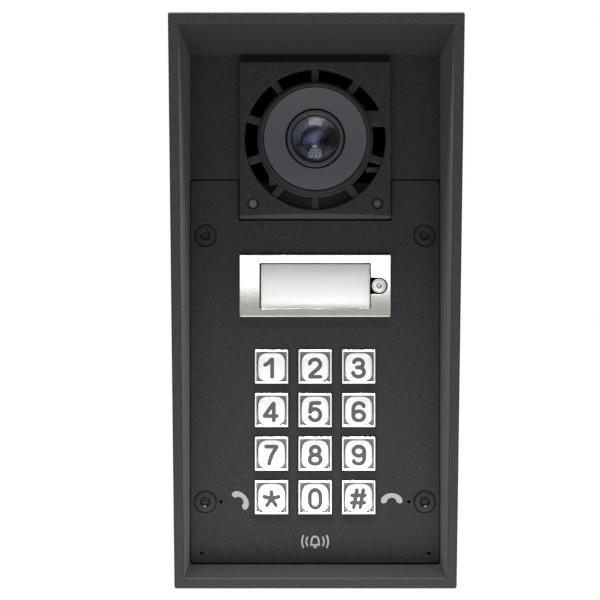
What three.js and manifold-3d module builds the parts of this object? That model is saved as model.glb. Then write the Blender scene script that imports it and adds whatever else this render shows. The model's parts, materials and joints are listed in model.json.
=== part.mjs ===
// Wall-mounted video door station: a die-cast housing with a rain hood, a flush front panel with a
// twelve-key keypad and a call button that holds a name card, a camera, a loudspeaker around it,
// and the electronics behind.
//
// Millimetres. +Z is up and +X is to a visitor's right. The visitor stands on the -Y side.
// The origin is the centre of the back face, which lies against the wall in the plane y = 0.
// A "depth" is a distance out from the wall: a point at depth d has y = -d. Ranges are [low, high].

import * as THREE from 'three';
import { ConvexGeometry } from 'three/addons/geometries/ConvexGeometry.js';
import { mergeVertices } from 'three/addons/utils/BufferGeometryUtils.js';
import Module from 'manifold-3d';

// ---------------------------------------------------------------- driving dimensions

const WIDTH = 109;
const HEIGHT = 217;
const HOOD_DEPTH = 83; // front rim at the top edge
const SILL_DEPTH = 59.6; // front rim at the bottom edge
const FACE_DEPTH = 45.2; // front of the panel and of the floor above it
const FIT = 0.3; // clearance between neighbouring pieces that are clamped together

const PANEL = { width: 99, low: -101.7, high: 50.4, thickness: 2, gap: 0.6 };
const NOTCH = { width: 61, low: 34.55 }; // where the panel goes round the camera block
const LEDGE_DEPTH = 41.6; // what the panel's gasket rests on
const LEDGE_BACK = 38.6;
const OPENING = { halfWidth: 45.2, low: -97.4, high: 30.3 }; // through the ledge
const BAY = { halfWidth: 48.5, halfHeight: 102.5 }; // hollow behind the ledge, open at the back
const BACK_PLATE = { width: 104, height: 212, thickness: 3 };
const BACK_STEP = 4.6; // depth of the shoulder that the back seal presses on

const BLOCK = { halfWidth: 29.9, low: 35.15, high: 96.5, depth: 50.2, wall: 2.7, skin: 3 };
const CAMERA_Z = 66.2; // height of the camera's axis, which has x = 0
const SLOT_RING = { outer: 27.7, inner: 22.8, spokes: 10, spokeWidth: 2.9, spokeDepth: 49 };
const HUB = { bore: 20.6, nose: 21.3, back: 46.5, front: 52.2 };
const SENSOR = { x: 24.5, z: 41, radius: 1.9 };

const KEY = { size: 13.4, pitch: 17.3, topRow: -23.5, depth: 46.6, gap: 0.4, flange: 15.6 };
const KEY_ROWS = [['1', '2', '3'], ['4', '5', '6'], ['7', '8', '9'], ['star', '0', 'hash']];
const CALL = { width: 59.8, height: 24.3, z: 8.55, depth: 46.9, gap: 0.4, lip: 1.6 };
const NAME_WINDOW = { width: 44, height: 18.1 };
const NAME_SCREW_X = 25.4;

const PANEL_SCREWS = [
  ['upper_left', -43.7, 28.7],
  ['upper_right', 43.7, 28.7],
  ['lower_left', -43.7, -77.4],
  ['lower_right', 43.7, -77.4],
];
const SOUND_HOLES = [[-45.2, -98], [45.2, -98]]; // one in front of each microphone
const DRAIN_HOLES = [[-37.4, -77.4], [37.4, -77.4]];
const PIN_HOLE_RADIUS = 0.65;

const BACK_SCREW = { x: 44.5, z: 98.5 };
const WALL_HOLE = { x: 34, low: -91, high: 21, radius: 2.75, seatRadius: 5.5, seatDepth: 3.6 };
const CABLE_Z = -90; // cable entry in the back plate, on the centre line
const MAIN_BOARD = { halfWidth: 40, low: -80, high: 12, back: 12, front: 13.6 };
const KEYPAD_BOARD = { halfWidth: 33, low: -88, high: 29.5, back: 36.5, front: 38.1 };
const STANDOFFS = [[-36, -75], [36, -75], [-36, 7], [36, 7]];
const STUDS = [[-30.5, -84], [30.5, -84], [-30.5, -10.5], [30.5, -10.5], [-20, 26], [20, 26]];

// ---------------------------------------------------------------- materials

const finish = (color, roughness, metalness = 0) =>
  new THREE.MeshStandardMaterial({ color, roughness, metalness });

const MATERIALS = {
  coatedCasting: () => finish(0x3a393b, 0.62, 0.2),
  coatedSheet: () => finish(0x353437, 0.6, 0.2),
  rawSheet: () => finish(0xa4a6a8, 0.45, 1),
  stainless: () => finish(0xc9c9c4, 0.28, 1),
  chromed: () => finish(0xe2e2e2, 0.16, 1),
  blackSteel: () => finish(0x1c1b1d, 0.42, 0.8),
  zincSteel: () => finish(0xb4b6b8, 0.35, 1),
  blackPlastic: () => finish(0x161618, 0.5),
  greyWindow: () => finish(0x4d4f54, 0.18),
  whitePlastic: () => finish(0xe9e9e6, 0.45),
  clearPlastic: () => {
    const made = finish(0xf2f4f4, 0.08);
    made.transparent = true;
    made.opacity = 0.35;
    return made;
  },
  opticalGlass: () => {
    const made = finish(0x5a6472, 0.03);
    made.transparent = true;
    made.opacity = 0.4;
    return made;
  },
  card: () => finish(0xf0f0ee, 0.8),
  rubber: () => finish(0x1a1a1a, 0.85),
  silicone: () => finish(0xd8dadb, 0.6),
  board: () => finish(0x1f5a36, 0.55),
  springSteel: () => finish(0xb9bbbe, 0.3, 1),
  ferrite: () => finish(0x2b2b2d, 0.7),
  paperCone: () => finish(0x232326, 0.9),
  ribbon: () => finish(0xc7c9cc, 0.5),
  infraredLens: () => finish(0x3c2226, 0.2),
};

// ---------------------------------------------------------------- geometry helpers

const wasm = await Module();
wasm.setup();

/** A closed three.js geometry as a manifold solid. */
function solidOf(geometry) {
  const loose = geometry.index ? geometry.toNonIndexed() : geometry.clone();
  loose.deleteAttribute('normal');
  loose.deleteAttribute('uv');
  const merged = mergeVertices(loose);
  return new wasm.Manifold(new wasm.Mesh({
    numProp: 3,
    vertProperties: new Float32Array(merged.attributes.position.array),
    triVerts: new Uint32Array(merged.index.array),
  }));
}

/** A manifold solid as a three.js geometry with flat faces. */
function geometryOf(solid) {
  const { numProp, vertProperties, triVerts } = solid.getMesh();
  const positions = new Float32Array((vertProperties.length / numProp) * 3);
  for (let i = 0; i < positions.length / 3; i++) {
    positions.set(vertProperties.subarray(i * numProp, i * numProp + 3), i * 3);
  }
  const indexed = new THREE.BufferGeometry();
  indexed.setAttribute('position', new THREE.BufferAttribute(positions, 3));
  indexed.setIndex(new THREE.BufferAttribute(new Uint32Array(triVerts), 1));
  const flat = indexed.toNonIndexed();
  flat.computeVertexNormals();
  return flat;
}

const join = (first, ...rest) =>
  geometryOf(rest.map(solidOf).reduce((sum, next) => sum.add(next), solidOf(first)));

const cut = (base, ...tools) =>
  geometryOf(tools.map(solidOf).reduce((left, tool) => left.subtract(tool), solidOf(base)));

const common = (first, second) => geometryOf(solidOf(first).intersect(solidOf(second)));

/** A box from its three ranges: across, out from the wall, and up. */
function slab([left, right], [back, front], [low, high]) {
  const geometry = new THREE.BoxGeometry(right - left, front - back, high - low);
  return geometry.translate((left + right) / 2, -(back + front) / 2, (low + high) / 2);
}

/** A box centred on x = 0. */
const centredSlab = (halfWidth, depths, heights) =>
  slab([-halfWidth, halfWidth], depths, heights);

/** A shape drawn in x and z, thickened over a range of depths. */
function plate(shape, [back, front], curveSegments = 3) {
  const options = { depth: front - back, bevelEnabled: false, curveSegments };
  return new THREE.ExtrudeGeometry(shape, options).rotateX(Math.PI / 2).translate(0, -back, 0);
}

/** A round bar or a frustum that points out from the wall. */
function rod(radius, [back, front], x = 0, z = 0, sides = 16, frontRadius = radius) {
  const geometry = new THREE.CylinderGeometry(radius, frontRadius, front - back, sides);
  return geometry.translate(x, -(back + front) / 2, z);
}

/** A turned body about an axis that points out from the wall; the profile is [radius, depth]. */
function turned(profile, sides = 24) {
  const area = profile.reduce((sum, [r, d], i) => {
    const [nextR, nextD] = profile[(i + 1) % profile.length];
    return sum + r * nextD - nextR * d;
  }, 0);
  const ordered = area > 0 ? [...profile].reverse() : profile;
  return new THREE.LatheGeometry(ordered.map(([r, d]) => new THREE.Vector2(r, -d)), sides);
}

/** A turned ring, whose profile closes on itself. */
const turnedRing = (profile, sides) => turned([...profile, profile[0]], sides);

/** A plain tube with a square-cut section. */
const tube = (inner, outer, [back, front], sides = 28) =>
  turnedRing([[inner, back], [outer, back], [outer, front], [inner, front]], sides);

/** The convex body around points given as [x, depth, z]. */
const hull = (points) =>
  new ConvexGeometry(points.map(([x, depth, z]) => new THREE.Vector3(x, -depth, z)));

function roundedRectangle(width, height, radius) {
  const [right, top] = [width / 2, height / 2];
  const shape = new THREE.Shape();
  shape.absarc(right - radius, top - radius, radius, 0, Math.PI / 2);
  shape.absarc(radius - right, top - radius, radius, Math.PI / 2, Math.PI);
  shape.absarc(radius - right, radius - top, radius, Math.PI, 1.5 * Math.PI);
  shape.absarc(right - radius, radius - top, radius, 1.5 * Math.PI, 2 * Math.PI);
  return shape;
}

/** The six-lobed driver recess of a security screw. */
function sixLobes(radius) {
  const points = Array.from({ length: 12 }, (_, i) => {
    const angle = (i / 12) * 2 * Math.PI;
    const reach = radius * (i % 2 ? 0.75 : 1);
    return new THREE.Vector2(reach * Math.cos(angle), reach * Math.sin(angle));
  });
  return new THREE.Shape(points);
}

/** A cable of constant section along a smooth line through points given as [x, depth, z]. */
function cable(section, points, steps) {
  const route = points.map(([x, depth, z]) => new THREE.Vector3(x, -depth, z));
  const path = new THREE.CatmullRomCurve3(route);
  const options = { steps, extrudePath: path, curveSegments: 2 };
  return new THREE.ExtrudeGeometry(section, options);
}

const object = new THREE.Group();

/** Adds one named piece. The geometry may be drawn on the axis and placed at x and z. */
function piece(name, geometry, material, x = 0, z = 0) {
  const mesh = new THREE.Mesh(geometry, material());
  mesh.name = name;
  mesh.position.set(x, 0, z);
  object.add(mesh);
}

// ---------------------------------------------------------------- shared outlines

/** The front panel's outline, grown by a margin. Its top edge is notched for the camera block. */
function panelOutline(margin) {
  const right = PANEL.width / 2 + margin;
  const [low, high] = [PANEL.low - margin, PANEL.high + margin];
  const [notch, notchLow] = [NOTCH.width / 2 - margin, NOTCH.low + margin];
  const [top, foot] = [2.1 + margin, 1.5 + margin]; // corner radii
  const shape = new THREE.Shape();
  shape.moveTo(notch, notchLow);
  shape.lineTo(notch, high);
  shape.absarc(right - top, high - top, top, Math.PI / 2, 0, true);
  shape.absarc(right - foot, low + foot, foot, 0, -Math.PI / 2, true);
  shape.absarc(foot - right, low + foot, foot, -Math.PI / 2, -Math.PI, true);
  shape.absarc(top - right, high - top, top, Math.PI, Math.PI / 2, true);
  shape.lineTo(-notch, high);
  shape.lineTo(-notch, notchLow);
  return shape;
}

/** Where the hollow in front of the panel meets the floor, and where it meets the slanted rim. */
const POCKET_FLOOR = { halfWidth: 49.8, low: -102.3, high: 100.4 };
const POCKET_RIM = { halfWidth: 50.7, low: -104.4, high: 104.1 };

/** Depth of the slanted front rim at a height. */
const rimDepth = (z) => SILL_DEPTH + ((HOOD_DEPTH - SILL_DEPTH) * (z + HEIGHT / 2)) / HEIGHT;

/** The hollow in front of the panel, drawn past the rim. */
function frontPocket() {
  const past = 1.4;
  const points = [];
  for (const side of [-1, 1]) {
    for (const end of ['low', 'high']) {
      const floor = [side * POCKET_FLOOR.halfWidth, FACE_DEPTH, POCKET_FLOOR[end]];
      const rim = [side * POCKET_RIM.halfWidth, rimDepth(POCKET_RIM[end]), POCKET_RIM[end]];
      points.push(floor, floor.map((value, i) => value + past * (rim[i] - value)));
    }
  }
  return hull(points);
}

// ---------------------------------------------------------------- housing

/** The raised block that carries the camera: square, with a slope down to the hood behind it. */
function cameraBlock() {
  const profile = [
    [FACE_DEPTH - 1, BLOCK.low],
    [BLOCK.depth, BLOCK.low],
    [BLOCK.depth, BLOCK.high],
    [FACE_DEPTH - 1, BLOCK.high + 4.4],
  ];
  const block = hull(profile.flatMap(([depth, z]) =>
    [[-BLOCK.halfWidth, depth, z], [BLOCK.halfWidth, depth, z]]));
  return cut(block, lowerEdgeScallop());
}

/** A shallow arched bevel along the block's lower front edge, deepest in the middle. */
function lowerEdgeScallop() {
  const deepest = 1.25;
  const radius = BLOCK.halfWidth ** 2 / (2 * deepest);
  const length = 20;
  const arc = new THREE.Shape();
  const reach = Math.asin((BLOCK.halfWidth + 3) / radius);
  arc.absarc(0, -radius, radius, Math.PI / 2 - reach, Math.PI / 2 + reach);
  const scallop = new THREE.ExtrudeGeometry(arc, {
    depth: length, bevelEnabled: false, curveSegments: 10,
  });
  // The arc's crown points into the casting, halfway between inwards and up.
  scallop.translate(0, deepest, -length / 2).rotateX(Math.PI / 4);
  return scallop.translate(0, -BLOCK.depth, BLOCK.low);
}

/** The ring between the slots and the camera, with its sloping nose. */
const cameraHub = () => turnedRing([
  [HUB.bore, HUB.back],
  [SLOT_RING.inner, HUB.back],
  [SLOT_RING.inner, 49.6],
  [HUB.nose, HUB.front],
  [HUB.bore, HUB.front],
], 36).translate(0, 0, CAMERA_Z);

function slotSpokes() {
  const { inner, outer, spokes, spokeWidth, spokeDepth } = SLOT_RING;
  const depths = [HUB.back, spokeDepth];
  return Array.from({ length: spokes }, (_, i) => {
    const spoke = centredSlab(spokeWidth / 2, depths, [inner - 0.8, outer + 0.6]);
    return spoke.rotateY((i / spokes) * 2 * Math.PI).translate(0, 0, CAMERA_Z);
  });
}

/** A drain that closes the bottom of the slot ring and slopes out to the block's face. */
function slotDrain() {
  const section = [[48.7, 38], [44, 49.4], [42.4, 49.4], [42.4, 38]];
  const wedge = hull(section.flatMap(([depth, z]) => [[-22, depth, z], [22, depth, z]]));
  const ring = tube(SLOT_RING.inner - 0.4, SLOT_RING.outer + 0.4, [40, 50], 40);
  return common(wedge, ring.translate(0, 0, CAMERA_Z));
}

/** Two stiffening ribs behind the slots on the right-hand side. */
const slotRibs = () => [
  slab([22, 27], [HUB.back, SLOT_RING.spokeDepth], [74, 77.6]),
  slab([20.9, 26], [44.6, 46.8], [53.5, 57.6]),
];

/** A column for a front-panel screw, tied to the side wall. */
function screwColumn(x, z) {
  const side = Math.sign(x);
  const web = [side * 43.7, side * 49.5].sort((a, b) => a - b);
  return [
    rod(4.8, [22, LEDGE_DEPTH], x, z),
    slab(web, [22, LEDGE_DEPTH], [z - 4, z + 4]),
  ];
}

/** Corner blocks that the back plate's screws bite into. */
const backCorners = () => [-1, 1].flatMap((sideX) => [-1, 1].map((sideZ) => {
  const across = [sideX * 40.5, sideX * 49.5].sort((a, b) => a - b);
  const up = [sideZ * 94.5, sideZ * 103.5].sort((a, b) => a - b);
  return slab(across, [BACK_STEP, 20], up);
}));

function housing() {
  const half = [WIDTH / 2, HEIGHT / 2];
  const shell = hull([-1, 1].flatMap((side) => [
    [side * half[0], 0, -half[1]],
    [side * half[0], 0, half[1]],
    [side * half[0], SILL_DEPTH, -half[1]],
    [side * half[0], HOOD_DEPTH, half[1]],
  ]));
  const emptied = cut(
    shell,
    frontPocket(),
    plate(panelOutline(PANEL.gap), [LEDGE_DEPTH, FACE_DEPTH + 1]),
    centredSlab(BACK_PLATE.width / 2 + FIT, [-1, BACK_STEP],
      [-BACK_PLATE.height / 2 - FIT, BACK_PLATE.height / 2 + FIT]),
    centredSlab(BAY.halfWidth, [4, LEDGE_BACK], [-BAY.halfHeight, BAY.halfHeight]),
    centredSlab(BAY.halfWidth, [LEDGE_BACK - 1, FACE_DEPTH - 3], [53, BAY.halfHeight]),
    centredSlab(OPENING.halfWidth, [LEDGE_BACK - 1, LEDGE_DEPTH + 1], [OPENING.low, OPENING.high]),
  );
  const blockHollow = centredSlab(BLOCK.halfWidth - BLOCK.wall,
    [LEDGE_BACK - 1, BLOCK.depth - BLOCK.skin], [BLOCK.low + BLOCK.wall, BLOCK.high + 0.8]);
  const slotDisc = rod(SLOT_RING.outer, [44, 51], 0, CAMERA_Z, 40);
  const opened = cut(join(emptied, cameraBlock()), blockHollow, slotDisc);
  const soundDuct = tube(28.5, 31, [31.8, 47.5], 28).translate(0, 0, CAMERA_Z);
  const filled = join(
    opened,
    soundDuct,
    cameraHub(),
    ...slotSpokes(),
    slotDrain(),
    ...slotRibs(),
    ...PANEL_SCREWS.flatMap(([, x, z]) => screwColumn(x, z)),
    ...backCorners(),
  );
  return cut(
    filled,
    ...PANEL_SCREWS.map(([, x, z]) => rod(2, [26, LEDGE_DEPTH + 1], x, z, 8)),
    ...SOUND_HOLES.map(([x, z]) => rod(2.9, [LEDGE_BACK - 1, LEDGE_DEPTH + 1], x, z, 12)),
    ...[-1, 1].flatMap((sx) => [-1, 1].map((sz) =>
      rod(1.8, [4, 16], sx * BACK_SCREW.x, sz * BACK_SCREW.z, 8))),
    ...[-1, 1].map((side) => rod(SENSOR.radius + 0.3, [46, 51], side * SENSOR.x, SENSOR.z)),
    slab([-7, 7], [32.5, 36.8], [33, 40]), // the camera's flat cable leaves the sound duct here
  );
}

piece('housing', housing(), MATERIALS.coatedCasting);

// ---------------------------------------------------------------- back plate and its fixings

/** Flat sheet with posts for the main board and a raised seat round each wall screw's hole. */
function backPlate() {
  const base = centredSlab(BACK_PLATE.width / 2, [0, BACK_PLATE.thickness],
    [-BACK_PLATE.height / 2, BACK_PLATE.height / 2]);
  const posts = STANDOFFS.map(([x, z]) => rod(3, [2, MAIN_BOARD.back - FIT], x, z, 10));
  const corners = [-1, 1].flatMap((sx) => [-1, 1].map((sz) => [sx, sz]));
  const wallHole = (radius, depths) => corners.map(([sx, sz]) =>
    rod(radius, depths, sx * WALL_HOLE.x, sz < 0 ? WALL_HOLE.low : WALL_HOLE.high));
  return cut(
    join(base, ...posts, ...wallHole(WALL_HOLE.seatRadius, [2, WALL_HOLE.seatDepth])),
    ...wallHole(WALL_HOLE.radius, [-1, WALL_HOLE.seatDepth + 1]),
    rod(9, [-1, 4], 0, CABLE_Z, 20),
    ...corners.map(([sx, sz]) => rod(1.8, [-1, 4], sx * BACK_SCREW.x, sz * BACK_SCREW.z, 12)),
    ...corners.map(([sx, sz]) =>
      rod(3.7, [-0.5, 1.7], sx * BACK_SCREW.x, sz * BACK_SCREW.z, 12, 1.8)),
  );
}

function backSeal() {
  const [w, h] = [BACK_PLATE.width, BACK_PLATE.height];
  const depths = [BACK_PLATE.thickness + 0.2, BACK_STEP - 0.2];
  return cut(plate(roundedRectangle(w, h, 1), depths),
    plate(roundedRectangle(w - 6.2, h - 6.2, 1), [2, 6]));
}

/** Countersunk screw with its head against the wall side of the back plate. */
const backScrew = () => turned([
  [0, 0.8], [1.1, 0.8], [1.1, 0.1], [2.8, 0.1], [1.4, 1.6], [1.4, 14.5], [0, 14.5],
], 12);

/** Countersunk security screw: six lobes and a centre pin. */
function panelScrew() {
  const top = FACE_DEPTH - 0.1;
  const body = turned([
    [0, 33], [1.6, 33], [1.6, 43.3], [4, top], [0, top],
  ], 20);
  const recess = plate(sixLobes(2.1), [top - 1.5, top + 1]);
  return join(cut(body, recess), rod(0.55, [top - 2, top - 0.3], 0, 0, 8));
}

/** Soft ring round the cable where it comes through the back plate. */
const cableGrommet = () => turnedRing([
  [4, 0.3], [8.7, 0.3], [8.7, 3.3], [11.5, 3.3], [11.2, 4.6], [4.6, 5.2], [4, 4.8],
], 18);

piece('back_plate', backPlate(), MATERIALS.rawSheet);
piece('back_seal', backSeal(), MATERIALS.rubber);
piece('cable_grommet', cableGrommet(), MATERIALS.rubber, 0, CABLE_Z);
for (const [name, x, z] of PANEL_SCREWS) {
  piece(`panel_screw_${name}`, panelScrew(), MATERIALS.blackSteel, x, z);
}
for (const [level, sz] of [['upper', 1], ['lower', -1]]) {
  for (const [side, sx] of [['left', -1], ['right', 1]]) {
    const place = [sx * BACK_SCREW.x, sz * BACK_SCREW.z];
    piece(`back_screw_${level}_${side}`, backScrew(), MATERIALS.zincSteel, ...place);
  }
}

// ---------------------------------------------------------------- front panel

/** Height of a keypad row's centre, counted from the top. */
const rowHeight = (row) => KEY.topRow - row * KEY.pitch;
const columnPlace = (column) => (column - 1) * KEY.pitch;

function frontPanel() {
  const back = FACE_DEPTH - PANEL.thickness;
  const through = [back - 1, FACE_DEPTH + 1];
  const sheet = plate(panelOutline(0), [back, FACE_DEPTH]);
  const studs = STUDS.map(([x, z]) =>
    rod(2.2, [KEYPAD_BOARD.front + FIT, back + 0.5], x, z, 8));
  const keyHalf = KEY.size / 2 + KEY.gap;
  const keyHoles = KEY_ROWS.flatMap((keys, row) => keys.map((_, column) => slab(
    [columnPlace(column) - keyHalf, columnPlace(column) + keyHalf],
    through,
    [rowHeight(row) - keyHalf, rowHeight(row) + keyHalf],
  )));
  const callHole = centredSlab(CALL.width / 2 + CALL.gap, through,
    [CALL.z - CALL.height / 2 - CALL.gap, CALL.z + CALL.height / 2 + CALL.gap]);
  const pinHoles = [...SOUND_HOLES, ...DRAIN_HOLES];
  return cut(
    join(sheet, ...studs),
    ...keyHoles,
    callHole,
    ...PANEL_SCREWS.map(([, x, z]) => rod(2.45, through, x, z, 20)),
    ...PANEL_SCREWS.map(([, x, z]) => rod(2.45, [back + 0.1, FACE_DEPTH + 0.4], x, z, 20, 4.9)),
    ...pinHoles.map(([x, z]) => rod(PIN_HOLE_RADIUS, through, x, z, 8)),
  );
}

function panelGasket() {
  const depths = [LEDGE_DEPTH + 0.25, FACE_DEPTH - PANEL.thickness - 0.25];
  const through = [depths[0] - 1, depths[1] + 1];
  return cut(
    plate(panelOutline(-0.6), depths),
    centredSlab(OPENING.halfWidth + 0.4, through, [OPENING.low - 0.4, OPENING.high + 0.4]),
    slab([34.5, 45.6], through, [25, 46.6]),
    slab([-45.6, -34.5], through, [25, 46.6]),
    ...SOUND_HOLES.map(([x, z]) => rod(2.9, through, x, z, 12)),
  );
}

piece('front_panel', frontPanel(), MATERIALS.coatedSheet);
piece('panel_gasket', panelGasket(), MATERIALS.rubber);
for (const [index, side] of ['left', 'right'].entries()) {
  piece(`microphone_${side}`, rod(2.6, [37, 42.9], 0, 0, 12), MATERIALS.rubber, ...SOUND_HOLES[index]);
}

// ---------------------------------------------------------------- keypad

const PANEL_BACK = FACE_DEPTH - PANEL.thickness;
const KEY_BACK = PANEL_BACK - FIT - 1.2; // back of the flange that keeps a key in the panel

/** A hollow cap with a retaining flange, a flat rim and a raised pillow. */
function keyCap() {
  const shoulder = KEY.depth - 0.5;
  const half = KEY.size / 2;
  const flangeHalf = KEY.flange / 2;
  const pillow = new THREE.ExtrudeGeometry(roundedRectangle(10.9, 10.9, 3), {
    depth: 0.4, bevelThickness: 0.3, bevelSize: 0.45, bevelSegments: 1, curveSegments: 2,
  });
  pillow.rotateX(Math.PI / 2).translate(0, -(KEY.depth - 0.7), 0);
  const cap = join(
    centredSlab(half, [KEY_BACK, shoulder], [-half, half]),
    centredSlab(flangeHalf, [KEY_BACK, KEY_BACK + 1.2], [-flangeHalf, flangeHalf]),
    pillow,
  );
  return cut(cap, centredSlab(5.5, [KEY_BACK - 1, 44.4], [-5.5, 5.5]));
}

/** One sheet with a tapered stud under each key; the studs reach up inside the caps. */
function keypadMat() {
  const base = centredSlab(26.5, [38.4, 39.9], [-85, -14]);
  const studs = KEY_ROWS.flatMap((keys, row) => keys.map((_, column) =>
    rod(4.2, [39.4, 42.9], columnPlace(column), rowHeight(row), 8, 2.6)));
  return join(base, ...studs);
}

KEY_ROWS.forEach((keys, row) => keys.forEach((label, column) => {
  piece(`key_${label}`, keyCap(), MATERIALS.chromed, columnPlace(column), rowHeight(row));
}));
piece('keypad_mat', keypadMat(), MATERIALS.silicone);
piece('keypad_board',
  centredSlab(KEYPAD_BOARD.halfWidth, [KEYPAD_BOARD.back, KEYPAD_BOARD.front],
    [KEYPAD_BOARD.low, KEYPAD_BOARD.high]),
  MATERIALS.board);

// ---------------------------------------------------------------- call button

const CALL_FRAME_BACK = 44.5;
const CALL_BACK = 41.2;

/** The D-shaped pocket for the screw head and the window's tab, open to the window. */
const tabPocket = (radius, depths) => join(
  rod(radius, depths, NAME_SCREW_X, 0, 20),
  slab([NAME_WINDOW.width / 2 - 1, NAME_SCREW_X], depths, [-radius, radius]),
);

function callFrame() {
  const through = [CALL_FRAME_BACK - 1, CALL.depth + 1];
  return cut(
    plate(roundedRectangle(CALL.width, CALL.height, 0.5), [CALL_FRAME_BACK, CALL.depth], 2),
    plate(roundedRectangle(NAME_WINDOW.width, NAME_WINDOW.height, 0.5), through, 2),
    tabPocket(3.3, [44.9, CALL.depth + 1]),
    rod(1.6, through, NAME_SCREW_X, 0, 10),
  );
}

/** Clear cover over the card, with a tab that the screw holds down. */
function nameWindow() {
  const sheet = plate(roundedRectangle(NAME_WINDOW.width - 0.5, NAME_WINDOW.height - 0.5, 0.4),
    [45, 46.1], 2);
  return cut(join(sheet, tabPocket(2.9, [45, 45.7])), rod(1.6, [44, 47], NAME_SCREW_X, 0, 10));
}

/** Light-guiding body behind the frame; its lip keeps the button in the panel. */
function callCarrier() {
  const body = centredSlab(CALL.width / 2, [CALL_BACK, CALL_FRAME_BACK - 0.2],
    [-CALL.height / 2, CALL.height / 2]);
  const lip = centredSlab(CALL.width / 2 + CALL.lip, [CALL_BACK, PANEL_BACK - FIT],
    [-CALL.height / 2 - CALL.lip, CALL.height / 2 + CALL.lip]);
  return cut(join(body, lip), rod(1.6, [41.9, 46], NAME_SCREW_X, 0, 10));
}

/** Pan-head screw with a six-lobed recess. */
function nameScrew() {
  const body = turned([
    [0, 42.1], [1.25, 42.1], [1.25, 45.8], [2.9, 45.8], [2.9, 46.5], [2.2, 47.1], [0, 47.25],
  ], 16);
  return cut(body, plate(sixLobes(1.25), [46.3, 48]));
}

/** Coil spring between the keypad board and the button. */
function returnSpring() {
  const [radius, wire, turns] = [1.8, 0.2, 2.5];
  const [back, front] = [KEYPAD_BOARD.front + 0.4, CALL_BACK - 0.4];
  const steps = 20;
  const helix = Array.from({ length: steps + 1 }, (_, i) => {
    const angle = (i / steps) * turns * 2 * Math.PI;
    const depth = back + (front - back) * (i / steps);
    return [radius * Math.cos(angle), depth, radius * Math.sin(angle)];
  });
  const section = new THREE.Shape().absarc(0, 0, wire, 0, 2 * Math.PI);
  return cable(section, helix, steps);
}

piece('call_button_frame', callFrame(), MATERIALS.stainless, 0, CALL.z);
piece('name_window', nameWindow(), MATERIALS.clearPlastic, 0, CALL.z);
piece('name_card', centredSlab(21.6, [44.5, 44.7], [-8.8, 8.8]), MATERIALS.card, 0, CALL.z);
piece('call_button_carrier', callCarrier(), MATERIALS.whitePlastic, 0, CALL.z);
piece('name_window_screw', nameScrew(), MATERIALS.zincSteel, NAME_SCREW_X, CALL.z);
piece('call_spring_left', returnSpring(), MATERIALS.springSteel, -23, CALL.z);
piece('call_spring_right', returnSpring(), MATERIALS.springSteel, 23, CALL.z);
piece('call_switch',
  join(centredSlab(3, [38.4, 39.6], [-3, 3]), rod(1.7, [39.4, 39.95], 0, 0, 12)),
  MATERIALS.blackPlastic, 0, CALL.z);

// ---------------------------------------------------------------- camera

/** A dished glass cap: two spherical caps over the same rim. */
function lensDome() {
  const [rim, rise, back, thickness] = [8.6, 3.2, 50.9, 1.1];
  const bulge = (radius, height) => height * (1 - (radius / rim) ** 2);
  const steps = 4;
  const outer = Array.from({ length: steps + 1 }, (_, i) => {
    const radius = rim * (1 - i / steps);
    return [radius, back + 0.5 + bulge(radius, rise)];
  });
  const inner = Array.from({ length: steps }, (_, i) => {
    const radius = (rim - 1) * (i / (steps - 1));
    return [radius, back + bulge(radius * (rim / (rim - 1)), rise - thickness + 0.5)];
  });
  return turned([...inner, [rim, back], ...outer]);
}

const cameraCup = () => turnedRing([
  [7.3, 38], [19.9, 38], [19.9, 44.8], [21.8, 44.8], [21.8, 46.2], [19.9, 46.2],
  [19.9, 50.1], [18.4, 50.1], [18.4, 39.5], [7.3, 39.5],
], 28);

const lensBarrel = () => turnedRing([
  [4, 37.7], [6.9, 37.7], [6.9, 44], [8.7, 44], [8.7, 50.6], [7.6, 50.6], [7.6, 46.2],
  [5.2, 46.2], [5.2, 41], [4, 41],
], 20);

const retainingRing = () => turnedRing([
  [8.95, 49.8], [11.3, 49.8], [11.3, 52.6], [10.9, 53], [9.6, 53], [8.95, 52.2],
], 28);

const innerLens = () => turned([
  [0, 43], [4.9, 43], [4.9, 44.2], [3.8, 45], [2, 45.6], [0, 45.8],
], 20);

/** A lamp or sensor body with its lens, and the collar that seats behind the block's face. */
const sensorBody = (radius) => turned([
  [0, 43.5], [2.5, 43.5], [2.5, 46.8], [radius, 46.8], [radius, 50.1], [radius * 0.7, 50.5], [0, 50.6],
], 16);

piece('camera_window', tube(11.7, 20.2, [50.4, 52], 36), MATERIALS.greyWindow, 0, CAMERA_Z);
piece('lens_retaining_ring', retainingRing(), MATERIALS.blackPlastic, 0, CAMERA_Z);
piece('lens_dome', lensDome(), MATERIALS.opticalGlass, 0, CAMERA_Z);
piece('inner_lens', innerLens(), MATERIALS.opticalGlass, 0, CAMERA_Z);
piece('lens_barrel', lensBarrel(), MATERIALS.blackPlastic, 0, CAMERA_Z);
piece('camera_cup', cameraCup(), MATERIALS.blackPlastic, 0, CAMERA_Z);
piece('camera_board',
  join(centredSlab(13, [35.8, 37.4], [-13, 13]), centredSlab(3, [37, 38.6], [-2.5, 2.5])),
  MATERIALS.board, 0, CAMERA_Z);
piece('light_sensor', sensorBody(SENSOR.radius), MATERIALS.whitePlastic, -SENSOR.x, SENSOR.z);
piece('infrared_lamp', sensorBody(SENSOR.radius), MATERIALS.infraredLens, SENSOR.x, SENSOR.z);

// ---------------------------------------------------------------- loudspeaker

const speakerBasket = () => turnedRing([
  [31, 30.1], [31, 28.9], [28.6, 28.9], [19, 18], [19, 17], [8, 17], [8, 18.2],
  [17.6, 18.2], [27.2, 29], [27.8, 30.1],
], 28);

/** Cone with its dust cap, a thin turned shell. */
const speakerCone = () => turned([
  [0, 21.6], [5, 20.8], [8, 19.9], [25.4, 28.4], [26.2, 29], [26.2, 29.6], [25.2, 29.1],
  [8.2, 20.8], [5, 21.7], [0, 22.5],
], 28);

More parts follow.
